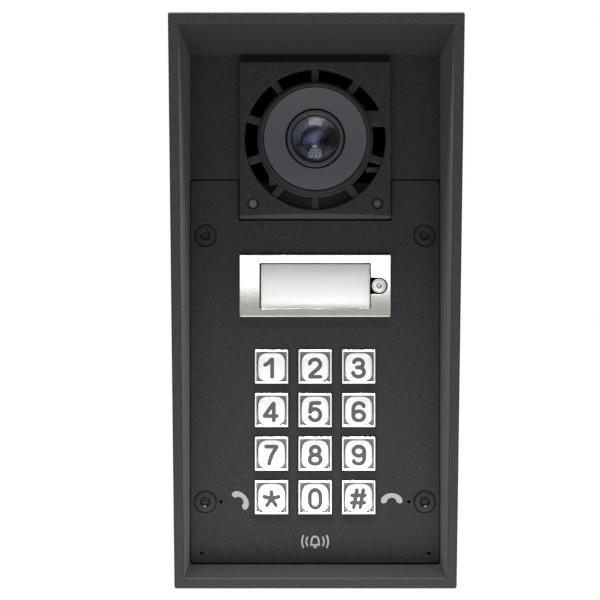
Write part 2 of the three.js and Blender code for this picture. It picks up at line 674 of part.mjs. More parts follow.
piece('sound_mesh', tube(20.6, 28.2, [41.4, 41.9]), MATERIALS.blackPlastic, 0, CAMERA_Z);
piece('speaker_gasket', tube(28.5, 30.8, [30.4, 31.5]), MATERIALS.rubber, 0, CAMERA_Z);
piece('speaker_basket', speakerBasket(), MATERIALS.blackSteel, 0, CAMERA_Z);
piece('speaker_cone', speakerCone(), MATERIALS.paperCone, 0, CAMERA_Z);
piece('speaker_magnet', rod(17, [8, 16.7], 0, 0, 28), MATERIALS.ferrite, 0, CAMERA_Z);

// ---------------------------------------------------------------- main board and wiring

const ON_BOARD = MAIN_BOARD.front + FIT;

/** Network socket with its plug opening facing down. */
const networkJack = () => cut(
  slab([-30, -14], [ON_BOARD, 27], [-76, -60]),
  slab([-28, -16], [16, 25], [-77, -63]),
);

/** Screw terminals in a row, with a wire hole under each. */
function terminalBlock() {
  const places = Array.from({ length: 8 }, (_, i) => -4.5 + 5 * i);
  return cut(
    slab([-8, 34], [ON_BOARD, 24], [-78, -68]),
    ...places.map((x) => rod(1.5, [21, 25], x, -72, 8)),
    ...places.map((x) => slab([x - 1.3, x + 1.3], [15.5, 18.5], [-79, -75])),
  );
}

/** Finned cooler on the processor. */
function heatSink() {
  const fins = Array.from({ length: 6 }, (_, i) => -19 + 4 * i);
  return join(
    slab([-20, 4], [ON_BOARD, 16], [-44, -20]),
    ...fins.map((x) => slab([x - 0.8, x + 0.8], [15, 22], [-44, -20])),
  );
}

/** A flat cable: wide along x, thin across its bend. */
const flatCable = (width, points) => {
  const [halfWidth, halfThickness] = [width / 2, 0.2];
  const section = new THREE.Shape([
    new THREE.Vector2(-halfWidth, -halfThickness),
    new THREE.Vector2(halfWidth, -halfThickness),
    new THREE.Vector2(halfWidth, halfThickness),
    new THREE.Vector2(-halfWidth, halfThickness),
  ]);
  return cable(section, points, 14);
};

piece('main_board',
  centredSlab(MAIN_BOARD.halfWidth, [MAIN_BOARD.back, MAIN_BOARD.front],
    [MAIN_BOARD.low, MAIN_BOARD.high]),
  MATERIALS.board);
piece('network_jack', networkJack(), MATERIALS.zincSteel);
piece('terminal_block', terminalBlock(), MATERIALS.blackPlastic);
piece('relay', slab([14, 30], [ON_BOARD, 28], [-50, -38]), MATERIALS.blackPlastic);
piece('heat_sink', heatSink(), MATERIALS.rawSheet);
piece('keypad_ribbon',
  flatCable(12, [[22, 35.9, -6], [22, 33, -12], [22, 24, -12], [22, 17, -8], [22, 14.4, -2]]),
  MATERIALS.ribbon);
piece('camera_flex',
  flatCable(10, [[0, 35, 58], [0, 34.6, 44], [0, 34.2, 34], [0, 26, 27], [0, 17, 18], [0, 14.4, 6]]),
  MATERIALS.ribbon);
piece('speaker_lead',
  cable(new THREE.Shape().absarc(0, 0, 1, 0, 2 * Math.PI),
    [[-22, 20, 47], [-26, 18, 40], [-31, 16, 28], [-32, 16, 16], [-31, 15.2, 8]], 16),
  MATERIALS.rubber);

export default object;
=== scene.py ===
"""Looks of a wall-mounted video door station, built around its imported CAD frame.

The station is a die-cast housing with a rain hood, a flush front panel with a twelve-key metal
keypad, a call button that holds a name card, and a camera with the loudspeaker's slots round it.

Sizes are in millimetres unless a name says otherwise. A "depth" is a distance out from the wall,
so a point at depth d has y = -d. Outlines are drawn in x and z, as a visitor sees them.
"""

from __future__ import annotations

import json
import logging
import math
from dataclasses import dataclass, field
from enum import Enum
from typing import Callable, Iterable, Sequence

import bmesh
import bpy
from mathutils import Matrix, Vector
from mathutils.geometry import tessellate_polygon

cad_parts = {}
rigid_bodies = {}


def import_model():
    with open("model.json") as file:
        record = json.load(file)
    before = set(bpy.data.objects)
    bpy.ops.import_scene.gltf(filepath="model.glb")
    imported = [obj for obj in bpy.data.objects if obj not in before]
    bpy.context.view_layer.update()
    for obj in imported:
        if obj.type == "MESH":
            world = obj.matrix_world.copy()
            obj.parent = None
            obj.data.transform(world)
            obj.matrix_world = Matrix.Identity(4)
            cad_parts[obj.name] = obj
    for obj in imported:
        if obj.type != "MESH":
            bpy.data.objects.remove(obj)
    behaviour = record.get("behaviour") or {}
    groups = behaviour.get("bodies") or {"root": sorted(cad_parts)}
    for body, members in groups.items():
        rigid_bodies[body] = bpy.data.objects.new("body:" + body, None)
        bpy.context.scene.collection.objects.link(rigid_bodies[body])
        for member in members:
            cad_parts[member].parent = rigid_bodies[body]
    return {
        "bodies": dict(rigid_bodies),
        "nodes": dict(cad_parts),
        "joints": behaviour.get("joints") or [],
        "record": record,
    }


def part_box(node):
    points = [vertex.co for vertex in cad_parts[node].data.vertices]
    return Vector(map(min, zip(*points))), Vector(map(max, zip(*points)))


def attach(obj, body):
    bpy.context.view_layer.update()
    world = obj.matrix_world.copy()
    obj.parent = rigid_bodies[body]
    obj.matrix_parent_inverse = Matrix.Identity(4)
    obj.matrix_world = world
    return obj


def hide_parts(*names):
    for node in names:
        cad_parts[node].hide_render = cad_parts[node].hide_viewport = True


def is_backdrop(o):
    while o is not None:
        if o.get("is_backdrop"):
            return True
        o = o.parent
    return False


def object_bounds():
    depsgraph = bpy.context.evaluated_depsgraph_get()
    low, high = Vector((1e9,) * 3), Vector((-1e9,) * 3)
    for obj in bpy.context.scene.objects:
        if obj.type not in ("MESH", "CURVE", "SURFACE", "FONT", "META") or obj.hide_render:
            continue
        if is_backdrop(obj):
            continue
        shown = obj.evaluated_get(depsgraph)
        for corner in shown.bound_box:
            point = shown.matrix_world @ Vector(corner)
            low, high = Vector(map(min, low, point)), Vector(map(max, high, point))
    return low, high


log = logging.getLogger("door_station")

MM = 0.001
STATION = "station"

Point = tuple[float, float]
Place = tuple[float, float, float]

CREASE = math.radians(32)  # edges that turn by more than this stay sharp
ON_AXIS = 1e-6  # radii under this are a point on the axis
MERGE = 2e-7  # metres between points that are one
EDGE_STEPS = 3  # straight pieces in a plate's rounded edge
STROKE_SECTION = (  # a stroke's outline, in half widths across and rises up
    (-1, -0.6), (-1, 0.35), (-0.86, 0.9), (-0.4, 1), (0.4, 1), (0.86, 0.9), (1, 0.35), (1, -0.6),
)
STROKE_END = (35, 62, 80)  # degrees round a stroke's rounded end


# ---------------------------------------------------------------- outlines


def arc(centre: Point, radii: Point, start: float, end: float, steps: int = 12) -> list[Point]:
    """Points along an ellipse's arc.

    Args:
        centre: The ellipse's centre.
        radii: Its half width and half height.
        start: First angle in degrees, anticlockwise from +x.
        end: Last angle in degrees.
        steps: How many straight pieces the arc has.

    Returns:
        The points, both ends included.
    """
    turns = [math.radians(start + (end - start) * i / steps) for i in range(steps + 1)]
    return [(centre[0] + radii[0] * math.cos(t), centre[1] + radii[1] * math.sin(t)) for t in turns]


def circle(centre: Point, radius: float, steps: int = 48) -> list[Point]:
    """A closed anticlockwise circle.

    Args:
        centre: Its centre.
        radius: Its radius.
        steps: How many sides it has.

    Returns:
        Its points, without the first repeated.
    """
    return arc(centre, (radius, radius), 0, 360, steps)[:-1]


def soften(points: Sequence[Point], radii: float | Sequence[float], steps: int = 4) -> list[Point]:
    """Rounds the corners of a closed outline.

    Args:
        points: The corners in order.
        radii: One radius, or one for each corner.
        steps: How many straight pieces each rounded corner has.

    Returns:
        The outline with its corners rounded.
    """
    count = len(points)
    sizes = [radii] * count if isinstance(radii, (int, float)) else list(radii)
    made: list[Point] = []
    for i, (corner, radius) in enumerate(zip(points, sizes)):
        here = Vector(corner)
        back = Vector(points[i - 1]) - here
        ahead = Vector(points[(i + 1) % count]) - here
        if radius <= 0:
            made.append(tuple(here))
            continue
        half_angle = back.angle(ahead) / 2
        reach = min(radius / math.tan(half_angle), 0.48 * back.length, 0.48 * ahead.length)
        first = here + back.normalized() * reach
        last = here + ahead.normalized() * reach
        for k in range(steps + 1):
            t = k / steps
            made.append(tuple(first * (1 - t) ** 2 + here * 2 * t * (1 - t) + last * t**2))
    return made


def rectangle(centre: Point, width: float, height: float) -> list[Point]:
    """The corners of an upright rectangle, anticlockwise from the lower left."""
    (x, z), (w, h) = centre, (width / 2, height / 2)
    return [(x - w, z - h), (x + w, z - h), (x + w, z + h), (x - w, z + h)]


def inset(points: Sequence[Point], distance: float) -> list[Point]:
    """Moves an outline to its left, which is inwards on an anticlockwise one.

    Args:
        points: A closed outline.
        distance: How far each side moves.

    Returns:
        The moved outline, with as many points.
    """
    count = len(points)
    moved: list[Point] = []
    for i, (x, z) in enumerate(points):
        before = Vector((x, z)) - Vector(points[i - 1])
        after = Vector(points[(i + 1) % count]) - Vector((x, z))
        one = Vector((-before.y, before.x)).normalized()
        two = Vector((-after.y, after.x)).normalized()
        shift = (one + two) * distance / max(1 + one.dot(two), 0.2)
        moved.append((x + shift.x, z + shift.y))
    return moved


def lobes(radius: float, waist: float = 0.72, count: int = 6, steps: int = 72) -> list[Point]:
    """The outline of a lobed driver recess about the origin.

    Args:
        radius: From the middle to a lobe's tip.
        waist: The radius between two lobes, as a share of the tip's.
        count: How many lobes it has.
        steps: How many points it has.

    Returns:
        Its points, anticlockwise.
    """
    turns = [2 * math.pi * i / steps for i in range(steps)]
    mean, swing = radius * (1 + waist) / 2, radius * (1 - waist) / 2
    reach = [mean + swing * math.cos(count * t) for t in turns]
    return [(r * math.cos(t), r * math.sin(t)) for r, t in zip(reach, turns)]


# ---------------------------------------------------------------- closed surfaces


class Surface:
    """A closed surface that is drawn ring by ring, in millimetres."""

    def __init__(self) -> None:
        """Starts an empty surface."""
        self.places: list[Place] = []
        self.faces: list[tuple[int, ...]] = []
        self.flat: list[int] = []  # faces that keep a hard edge all round

    def ring(self, places: Iterable[Place]) -> list[int]:
        """Adds points.

        Args:
            places: The points as (x, depth, z).

        Returns:
            Their numbers.
        """
        first = len(self.places)
        self.places.extend(places)
        return list(range(first, len(self.places)))

    def level(self, outline: Sequence[Point], depth: float) -> list[int]:
        """Adds an outline at one depth and returns its points' numbers."""
        return self.ring((x, depth, z) for x, z in outline)

    def bridge(self, one: Sequence[int], two: Sequence[int]) -> None:
        """Joins two rings with as many points by a closed band of faces.

        Args:
            one: The first ring's numbers, or a single point's.
            two: The second ring's numbers, or a single point's.
        """
        count = max(len(one), len(two))
        for i in range(count):
            j = (i + 1) % count
            corners = [one[i % len(one)], one[j % len(one)], two[j % len(two)], two[i % len(two)]]
            self.faces.append(tuple(dict.fromkeys(corners)))

    def chain(self, rings: Sequence[Sequence[int]], closed: bool = False) -> None:
        """Bridges each ring to the next.

        Args:
            rings: The rings in order.
            closed: Whether the last joins the first.
        """
        for one, two in zip(rings, rings[1:]):
            self.bridge(one, two)
        if closed:
            self.bridge(rings[-1], rings[0])

    def tube(self, rings: Sequence[Sequence[int]]) -> Surface:
        """Bridges rings in order and closes both ends.

        Args:
            rings: The rings in order.

        Returns:
            This surface.
        """
        self.chain(rings)
        self.cap(rings[0])
        self.cap(rings[-1])
        return self

    def fill(self, loops: Sequence[Sequence[int]]) -> None:
        """Fills a flat area between an outer loop and its holes, all at one depth.

        Args:
            loops: The numbers of the outer loop's points, then of each hole's.
        """
        flat = [[Vector((self.places[i][0], self.places[i][2], 0)) for i in loop] for loop in loops]
        numbers = [i for loop in loops for i in loop]
        for triangle in tessellate_polygon(flat):
            self.flat.append(len(self.faces))
            self.faces.append(tuple(numbers[i] for i in triangle))

    def cap(self, loop: Sequence[int]) -> None:
        """Closes a loop with one face."""
        self.faces.append(tuple(loop))

    def plate(
        self, outer: Sequence[Point], holes: Sequence[Sequence[Point]], depths: Point, edge: float = 0.25
    ) -> Surface:
        """Adds a flat plate with holes and rounded front edges.

        Args:
            outer: The outline, anticlockwise.
            holes: Outlines of the holes, anticlockwise too.
            depths: The depths of its back and its front.
            edge: Radius of the front edges.

        Returns:
            This surface.
        """
        back, front = depths
        starts, ends = [], []
        for outline in [outer, *[list(reversed(hole)) for hole in holes]]:
            rings = [self.level(outline, back)]
            for k in range(EDGE_STEPS + 1):
                turn = math.pi / 2 * k / EDGE_STEPS
                depth = front - edge + edge * math.sin(turn)
                rings.append(self.level(inset(outline, edge * (1 - math.cos(turn))), depth))
            self.chain(rings)
            starts.append(rings[0])
            ends.append(rings[-1])
        self.fill(starts)
        self.fill(ends)
        return self

    def turned(
        self, profile: Sequence[Point], sides: int = 64, centre: Point = (0, 0), ring: bool = False
    ) -> Surface:
        """Adds a body turned about an axis that points out from the wall.

        Args:
            profile: Points given as (radius, depth).
            sides: How many sides it has.
            centre: The axis's x and z.
            ring: Whether the profile closes on itself, not on the axis.

        Returns:
            This surface.
        """
        rings = []
        for radius, depth in profile:
            if radius < ON_AXIS:
                rings.append(self.ring([(centre[0], depth, centre[1])]))
            else:
                rings.append(self.level(circle(centre, radius, sides), depth))
        self.chain(rings, closed=ring)
        return self

    def bar(self, stations: Sequence[tuple[float, Sequence[Point]]]) -> Surface:
        """Adds a bar along x whose outline may change on the way.

        Args:
            stations: Each place's x and its outline as (depth, z), all with as many points.

        Returns:
            This surface.
        """
        return self.tube([self.ring((x, d, z) for d, z in outline) for x, outline in stations])

    def stroke(
        self,
        line: Sequence[Point],
        width: float,
        base: Callable[[float, float], float],
        rise: float,
        closed: bool = False,
    ) -> Surface:
        """Adds a low rounded stroke that follows a line over a curved face.

        Args:
            line: The stroke's centre line.
            width: Its full width.
            base: Gives the depth of the face under a point.
            rise: How far it stands off the face.
            closed: Whether the line joins its own start.

        Returns:
            This surface.
        """
        half = width / 2
        points = [Vector(p) for p in line]
        count = len(points)

        def heading(i: int) -> Vector:
            """Finds the direction of the line at one of its points.

            Args:
                i: The point's number.

            Returns:
                A vector of length 1.
            """
            ahead = points[(i + 1) % count] if closed or i < count - 1 else points[i]
            behind = points[i - 1] if closed or i > 0 else points[i]
            return (ahead - behind).normalized()

        def across(at: Vector, way: Vector, share: float) -> list[int]:
            """Adds one ring of points round the line.

            Args:
                at: Where the line passes through it.
                way: The line's direction there.
                share: The ring's width, as a share of the stroke's.

            Returns:
                The points' numbers.
            """
            side = Vector((-way.y, way.x))
            ring = []
            for u, v in STROKE_SECTION:
                spot = at + side * u * half * share
                ring.append((spot.x, base(spot.x, spot.y) + v * rise, spot.y))
            return self.ring(ring)

        rings = [across(p, heading(i), 1.0) for i, p in enumerate(points)]
        if closed:
            self.chain(rings, closed=True)
            return self
        first, last = heading(0), heading(count - 1)
        for turn in (math.radians(degrees) for degrees in STROKE_END):
            past, share = half * math.sin(turn), math.cos(turn)
            start = across(points[0] - first * past, first, share)
            rings = [start, *rings, across(points[-1] + last * past, last, share)]
        return self.tube(rings)

    def piece(self, name: str, finish: Finishes) -> bpy.types.Object:
        """Turns the surface into an object with its finish.

        Args:
            name: The piece's name.
            finish: What it is made of.

        Returns:
            The new object, at the origin.
        """
        mesh = bpy.data.meshes.new(name)
        mesh.from_pydata([(x * MM, -d * MM, z * MM) for x, d, z in self.places], [], self.faces)
        shape = bmesh.new()
        shape.from_mesh(mesh)
        shape.faces.ensure_lookup_table()
        hard = shape.faces.layers.int.new("hard")
        for number in self.flat:
            shape.faces[number][hard] = 1
        bmesh.ops.remove_doubles(shape, verts=shape.verts, dist=MERGE)
        bmesh.ops.recalc_face_normals(shape, faces=shape.faces)
        for edge in shape.edges:
            beside = {face[hard] for face in edge.link_faces}
            edge.smooth = len(beside) == 1 and edge.calc_face_angle(0.0) < CREASE
        shape.faces.layers.int.remove(hard)
        shape.to_mesh(mesh)
        shape.free()
        piece = bpy.data.objects.new(name, mesh)
        bpy.context.scene.collection.objects.link(piece)
        return finished(piece, finish)


def finished(piece: bpy.types.Object, finish: Finishes) -> bpy.types.Object:
    """Gives an object its material and its shading.

    Args:
        piece: The object, with its sharp edges marked.
        finish: What it is made of.

    Returns:
        The same object.
    """
    mesh = piece.data
    mesh.materials.clear()
    mesh.materials.append(finish.material())
    mesh.polygons.foreach_set("use_smooth", [True] * len(mesh.polygons))
    smooth = piece.modifiers.new("flat faces stay flat", "WEIGHTED_NORMAL")
    smooth.keep_sharp = True
    return piece


def carved(
    base: bpy.types.Object, tools: Sequence[bpy.types.Object], finish: Finishes, how: str = "DIFFERENCE"
) -> bpy.types.Object:
    """Cuts tools out of an object, or keeps what it shares with them.

    Args:
        base: The object that is kept.
        tools: The objects that cut it, which are removed.
        finish: What the result is made of.
        how: Blender's name for the operation.

    Returns:
        A new plain object with the base's name.
    """
    base.modifiers.clear()
    for tool in tools:
        tool.modifiers.clear()
        step = base.modifiers.new("cut", "BOOLEAN")
        step.operation, step.solver, step.object = how, "EXACT", tool
    result = plain(base)
    if not result.data.polygons:
        raise RuntimeError(f"nothing is left of {result.name}")
    for tool in tools:
        bpy.data.objects.remove(tool)
    result.data.set_sharp_from_angle(angle=CREASE)
    return finished(result, finish)


def plain(piece: bpy.types.Object) -> bpy.types.Object:
    """Replaces an object by its evaluated mesh, under the same name.

    Args:
        piece: The object, which is removed.

    Returns:
        The new object, without modifiers.
    """
    bpy.context.view_layer.update()
    graph = bpy.context.evaluated_depsgraph_get()
    mesh = bpy.data.meshes.new_from_object(piece.evaluated_get(graph))
    name = piece.name
    bpy.data.objects.remove(piece)
    mesh.name = name
    result = bpy.data.objects.new(name, mesh)
    bpy.context.scene.collection.objects.link(result)
    return result


# ---------------------------------------------------------------- materials


def linear(hex_colour: str) -> tuple[float, float, float, float]:
    """An sRGB hex colour, such as "#3c3b3e", as linear values with full alpha."""
    values = [int(hex_colour[i : i + 2], 16) / 255 for i in (1, 3, 5)]
    return (*[v / 12.92 if v <= 0.04045 else ((v + 0.055) / 1.055) ** 2.4 for v in values], 1.0)


def add_node(
    tree: bpy.types.NodeTree, kind: str, inputs: dict | None = None, **settings: object
) -> bpy.types.Node:
    """Adds a node.

    Args:
        tree: The tree that it goes into.
        kind: Blender's name for the node.
        inputs: Values or output sockets for its inputs, by name or number.
        settings: Its own properties.

    Returns:
        The new node.
    """
    node = tree.nodes.new(kind)
    for name, value in settings.items():
        setattr(node, name, value)
    for key, value in (inputs or {}).items():
        if isinstance(value, bpy.types.NodeSocket):
            tree.links.new(value, node.inputs[key])
        else:
            node.inputs[key].default_value = value
    return node


def ramp(
    tree: bpy.types.NodeTree, value: bpy.types.NodeSocket, stops: Sequence[tuple[float, str]]
) -> bpy.types.NodeSocket:
    """Puts a colour ramp on a value.

    Args:
        tree: The tree that it goes into.
        value: The socket that drives it.
        stops: Positions from 0 to 1 with their hex colours.

    Returns:
        The ramp's colour socket.
    """
    node = add_node(tree, "ShaderNodeValToRGB", {"Fac": value})
    elements = node.color_ramp.elements
    while len(elements) < len(stops):
        elements.new(0.5)
    for element, (position, colour) in zip(elements, stops):
        element.position, element.color = position, linear(colour)
    return node.outputs["Color"]


@dataclass(frozen=True)
class Finish:
    """A surface finish. Subclasses add the pattern that the real one shows."""

    name: str
    colour: str
    roughness: float = 0.5
    metallic: float = 0.0
    ior: float = 1.5  # metals keep the default

    def material(self) -> bpy.types.Material:
        """Makes the finish's Blender material, once.

        Returns:
            The material.
        """
        known = bpy.data.materials.get(self.name)
        if known:
            return known
        made = bpy.data.materials.new(self.name)
        made.use_nodes = True
        made.diffuse_color = linear(self.colour)
        tree = made.node_tree
        shader = tree.nodes["Principled BSDF"]
        shader.inputs["Base Color"].default_value = linear(self.colour)
        shader.inputs["Roughness"].default_value = self.roughness
        shader.inputs["Metallic"].default_value = self.metallic
        if self.metallic < 0.5:
            shader.inputs["IOR"].default_value = self.ior
        self.pattern(tree, shader)
        return made

    def pattern(self, tree: bpy.types.NodeTree, shader: bpy.types.Node) -> None:
        """Adds what varies over the surface: here a faint mottle of the roughness.

        Args:
            tree: The material's tree.
            shader: Its surface shader.
        """
        grain = self.noise(tree, 1.5, 2.0)
        self.uneven(tree, shader, grain, (max(self.roughness - 0.05, 0.02), self.roughness + 0.05))

    @staticmethod
    def uneven(
        tree: bpy.types.NodeTree, shader: bpy.types.Node, value: bpy.types.NodeSocket, span: Point
    ) -> None:
        """Makes the roughness follow a value.

        Args:
            tree: The material's tree.
            shader: Its surface shader.
            value: The socket that it follows, from 0 to 1.
            span: The roughness at 0 and at 1.
        """
        spread = add_node(tree, "ShaderNodeMapRange", {"Value": value, "To Min": span[0], "To Max": span[1]})
        tree.links.new(spread.outputs["Result"], shader.inputs["Roughness"])

    @staticmethod
    def noise(
        tree: bpy.types.NodeTree, size_mm: float, detail: float = 2.0, stretch: Place = (1, 1, 1)
    ) -> bpy.types.NodeSocket:
        """Smooth noise on object coordinates.

        Args:
            tree: The tree that it goes into.
            size_mm: The size of its features.
            detail: How many finer layers it has.
            stretch: How much longer the features are along x, y and z.

        Returns:
            The noise's value socket.
        """
        where = add_node(tree, "ShaderNodeTexCoord")
        scale = tuple(1 / (size_mm * MM * s) for s in stretch)
        mapped = add_node(tree, "ShaderNodeMapping", {"Vector": where.outputs["Object"], "Scale": scale})
        made = add_node(
            tree, "ShaderNodeTexNoise",
            {"Vector": mapped.outputs["Vector"], "Scale": 1.0, "Detail": detail, "Roughness": 0.6},
        )
        return made.outputs["Fac"]

    @staticmethod
    def bump(
        tree: bpy.types.NodeTree, shader: bpy.types.Node, height: bpy.types.NodeSocket,
        strength: float, depth_mm: float,
    ) -> None:
        """Bends the surface's normals by a height.

        Args:
            tree: The material's tree.
            shader: Its surface shader.
            height: The socket with the height, from 0 to 1.
            strength: How much of the bend is kept.
            depth_mm: How deep the texture is.
        """
        node = add_node(
            tree, "ShaderNodeBump",
            {"Height": height, "Strength": strength, "Distance": depth_mm * MM},
        )
        tree.links.new(node.outputs["Normal"], shader.inputs["Normal"])


@dataclass(frozen=True)
class PowderCoat(Finish):
    """Baked polyester powder: a fine orange-peel texture with lighter and darker grains.

    Its peel is 0.3 to 0.5 mm across, drawn at the coarse end so that it shows.
    """

    light: str = "#2c2b2e"
    grain_mm: float = 0.55
    strength: float = 0.4
    gloss: float = 0.25
    sheen: float = 0.08

    def pattern(self, tree: bpy.types.NodeTree, shader: bpy.types.Node) -> None:
        """Grains of two greys, and the bump of the orange peel.

        Args:
            tree: The material's tree.
            shader: Its surface shader.
        """
        grain = self.noise(tree, self.grain_mm, 1.0)
        colours = ramp(tree, grain, [(0.36, self.colour), (0.66, self.light)])
        tree.links.new(colours, shader.inputs["Base Color"])
        shader.inputs["Specular IOR Level"].default_value = self.gloss
        shader.inputs["Sheen Weight"].default_value = self.sheen
        self.bump(tree, shader, grain, self.strength, 0.12)


@dataclass(frozen=True)
class BrushedSteel(Finish):
    """Metal brushed along its length: long scratches a quarter of a millimetre wide.

    Real ones are finer than a tenth, and are drawn this coarse so that they show.
    """

    dark: str = "#8e8e86"
    strength: float = 0.3
    stretch: Place = (60, 1, 1)

    def pattern(self, tree: bpy.types.NodeTree, shader: bpy.types.Node) -> None:
        """Scratches in the colour, the roughness and the bump.

        Args:
            tree: The material's tree.
            shader: Its surface shader.
        """
        scratches = self.noise(tree, 0.25, 3.0, self.stretch)
        colours = ramp(tree, scratches, [(0.35, self.dark), (0.6, self.colour)])
        tree.links.new(colours, shader.inputs["Base Color"])
        self.uneven(tree, shader, scratches, (self.roughness * 1.3, self.roughness * 0.7))
        self.bump(tree, shader, scratches, self.strength, 0.01)


@dataclass(frozen=True)
class SatinChrome(Finish):
    """Satin chrome plate on a cast key: bright, soft-edged reflections with a faint cloudiness."""

    def pattern(self, tree: bpy.types.NodeTree, shader: bpy.types.Node) -> None:
        """Faint clouds in the roughness.

        Args:
            tree: The material's tree.
            shader: Its surface shader.
        """
        clouds = self.noise(tree, 0.8, 3.0)
        self.uneven(tree, shader, clouds, (self.roughness - 0.05, self.roughness + 0.06))
        self.bump(tree, shader, clouds, 0.08, 0.02)


@dataclass(frozen=True)
class MouldedPlastic(Finish):
    """Injection-moulded plastic with a fine spark-eroded texture."""

    grain_mm: float = 0.3
    strength: float = 0.1

    def pattern(self, tree: bpy.types.NodeTree, shader: bpy.types.Node) -> None:
        """The mould's fine grain, in the bump and the roughness.

        Args:
            tree: The material's tree.
            shader: Its surface shader.
        """
        super().pattern(tree, shader)
        self.bump(tree, shader, self.noise(tree, self.grain_mm, 2.0), self.strength, 0.03)


@dataclass(frozen=True)
class ClearPart(Finish):
    """Clear polycarbonate or optical glass, with the tint of its coating."""

    coating: str = "#ffffff"
    gloss: float = 0.5

    def pattern(self, tree: bpy.types.NodeTree, shader: bpy.types.Node) -> None:
        """Lets light through; the coating tints what it mirrors.

        Args:
            tree: The material's tree.
            shader: Its surface shader.
        """
        shader.inputs["Transmission Weight"].default_value = 1.0
        shader.inputs["Specular Tint"].default_value = linear(self.coating)
        shader.inputs["Specular IOR Level"].default_value = self.gloss
        self.uneven(tree, shader, self.noise(tree, 2.5, 2.0), (self.roughness, self.roughness + 0.015))


@dataclass(frozen=True)
class LensWithPaintedReflections(Finish):
    """Glossy optics with painted reflections: the tones drift across the part, from lower right to upper
    left.

    They are painted stand-ins for the bright and dark bands and highlights that such a curved, coated part
    mirrors.
    """

    tones: tuple[tuple[float, str], ...] = ((0.0, "#27170f"), (1.0, "#39415a"))
    centre: Point = (0.0, 65.3)  # millimetres across and up
    reach: float = 9.0  # millimetres from the centre to either end of the tones
    tilt: float = 28.0  # degrees

    def pattern(self, tree: bpy.types.NodeTree, shader: bpy.types.Node) -> None:
        """Blends the painted reflections along a tilted line through the part's centre.

        Args:
            tree: The material's tree.
            shader: Its surface shader.
        """
        where = add_node(tree, "ShaderNodeTexCoord")
        turned = add_node(
            tree, "ShaderNodeMapping",
            {"Vector": where.outputs["Object"], "Rotation": (0, math.radians(self.tilt), 0)},
        )
        parts = add_node(tree, "ShaderNodeSeparateXYZ", {"Vector": turned.outputs["Vector"]})
        tilt = math.radians(self.tilt)
        middle = self.centre[1] * math.cos(tilt) - self.centre[0] * math.sin(tilt)
        height = add_node(
            tree, "ShaderNodeMapRange",
            {"Value": parts.outputs["Z"], "From Min": (middle - self.reach) * MM,
             "From Max": (middle + self.reach) * MM},
        )
        tree.links.new(ramp(tree, height.outputs["Result"], self.tones), shader.inputs["Base Color"])
        shader.inputs["Coat Weight"].default_value = 1.0
        shader.inputs["Coat Roughness"].default_value = 0.02


@dataclass(frozen=True)
class ShadedCard(Finish):
    """Matt white card with a painted shade: greyer towards its top, where its frame and the hood shade it."""

    shades: tuple[tuple[float, str], ...] = ((0.0, "#a0a0a0"), (0.25, "#c2c2c2"), (0.6, "#d1d1d1"))
    top: float = 17.2  # millimetres up
    foot: float = -0.2

    def pattern(self, tree: bpy.types.NodeTree, shader: bpy.types.Node) -> None:
        """The painted shade, from the card's top to its foot.

        Args:
            tree: The material's tree.
            shader: Its surface shader.
        """
        where = add_node(tree, "ShaderNodeTexCoord")
        parts = add_node(tree, "ShaderNodeSeparateXYZ", {"Vector": where.outputs["Object"]})
        height = add_node(
            tree, "ShaderNodeMapRange",
            {"Value": parts.outputs["Z"], "From Min": self.top * MM, "From Max": self.foot * MM},
        )
        tones = [*self.shades, (1.0, self.colour)]
        tree.links.new(ramp(tree, height.outputs["Result"], tones), shader.inputs["Base Color"])


@dataclass(frozen=True)
class CircuitBoard(Finish):
    """Glass-epoxy board under green solder mask, with the faint paths of its copper tracks."""

    scale: float = 300.0  # a track every 1.7 mm or so
    tracks: tuple[str, str, str] = ("#1d5a37", "#1a5233", "#2f7a4c")

    def pattern(self, tree: bpy.types.NodeTree, shader: bpy.types.Node) -> None:
        """Tracks as a slightly lighter green.

        Args:
            tree: The material's tree.
            shader: Its surface shader.
        """
        where = add_node(tree, "ShaderNodeTexCoord")
        mapped = add_node(
            tree, "ShaderNodeMapping",
            {"Vector": where.outputs["Object"], "Rotation": (math.pi / 2, 0, 0)},
        )
        one, two, track = (linear(colour) for colour in self.tracks)
        board = add_node(
            tree, "ShaderNodeTexBrick",
            {"Vector": mapped.outputs["Vector"], "Scale": self.scale, "Mortar Size": 0.06,
             "Color1": one, "Color2": two, "Mortar": track},
        )
        tree.links.new(board.outputs["Color"], shader.inputs["Base Color"])


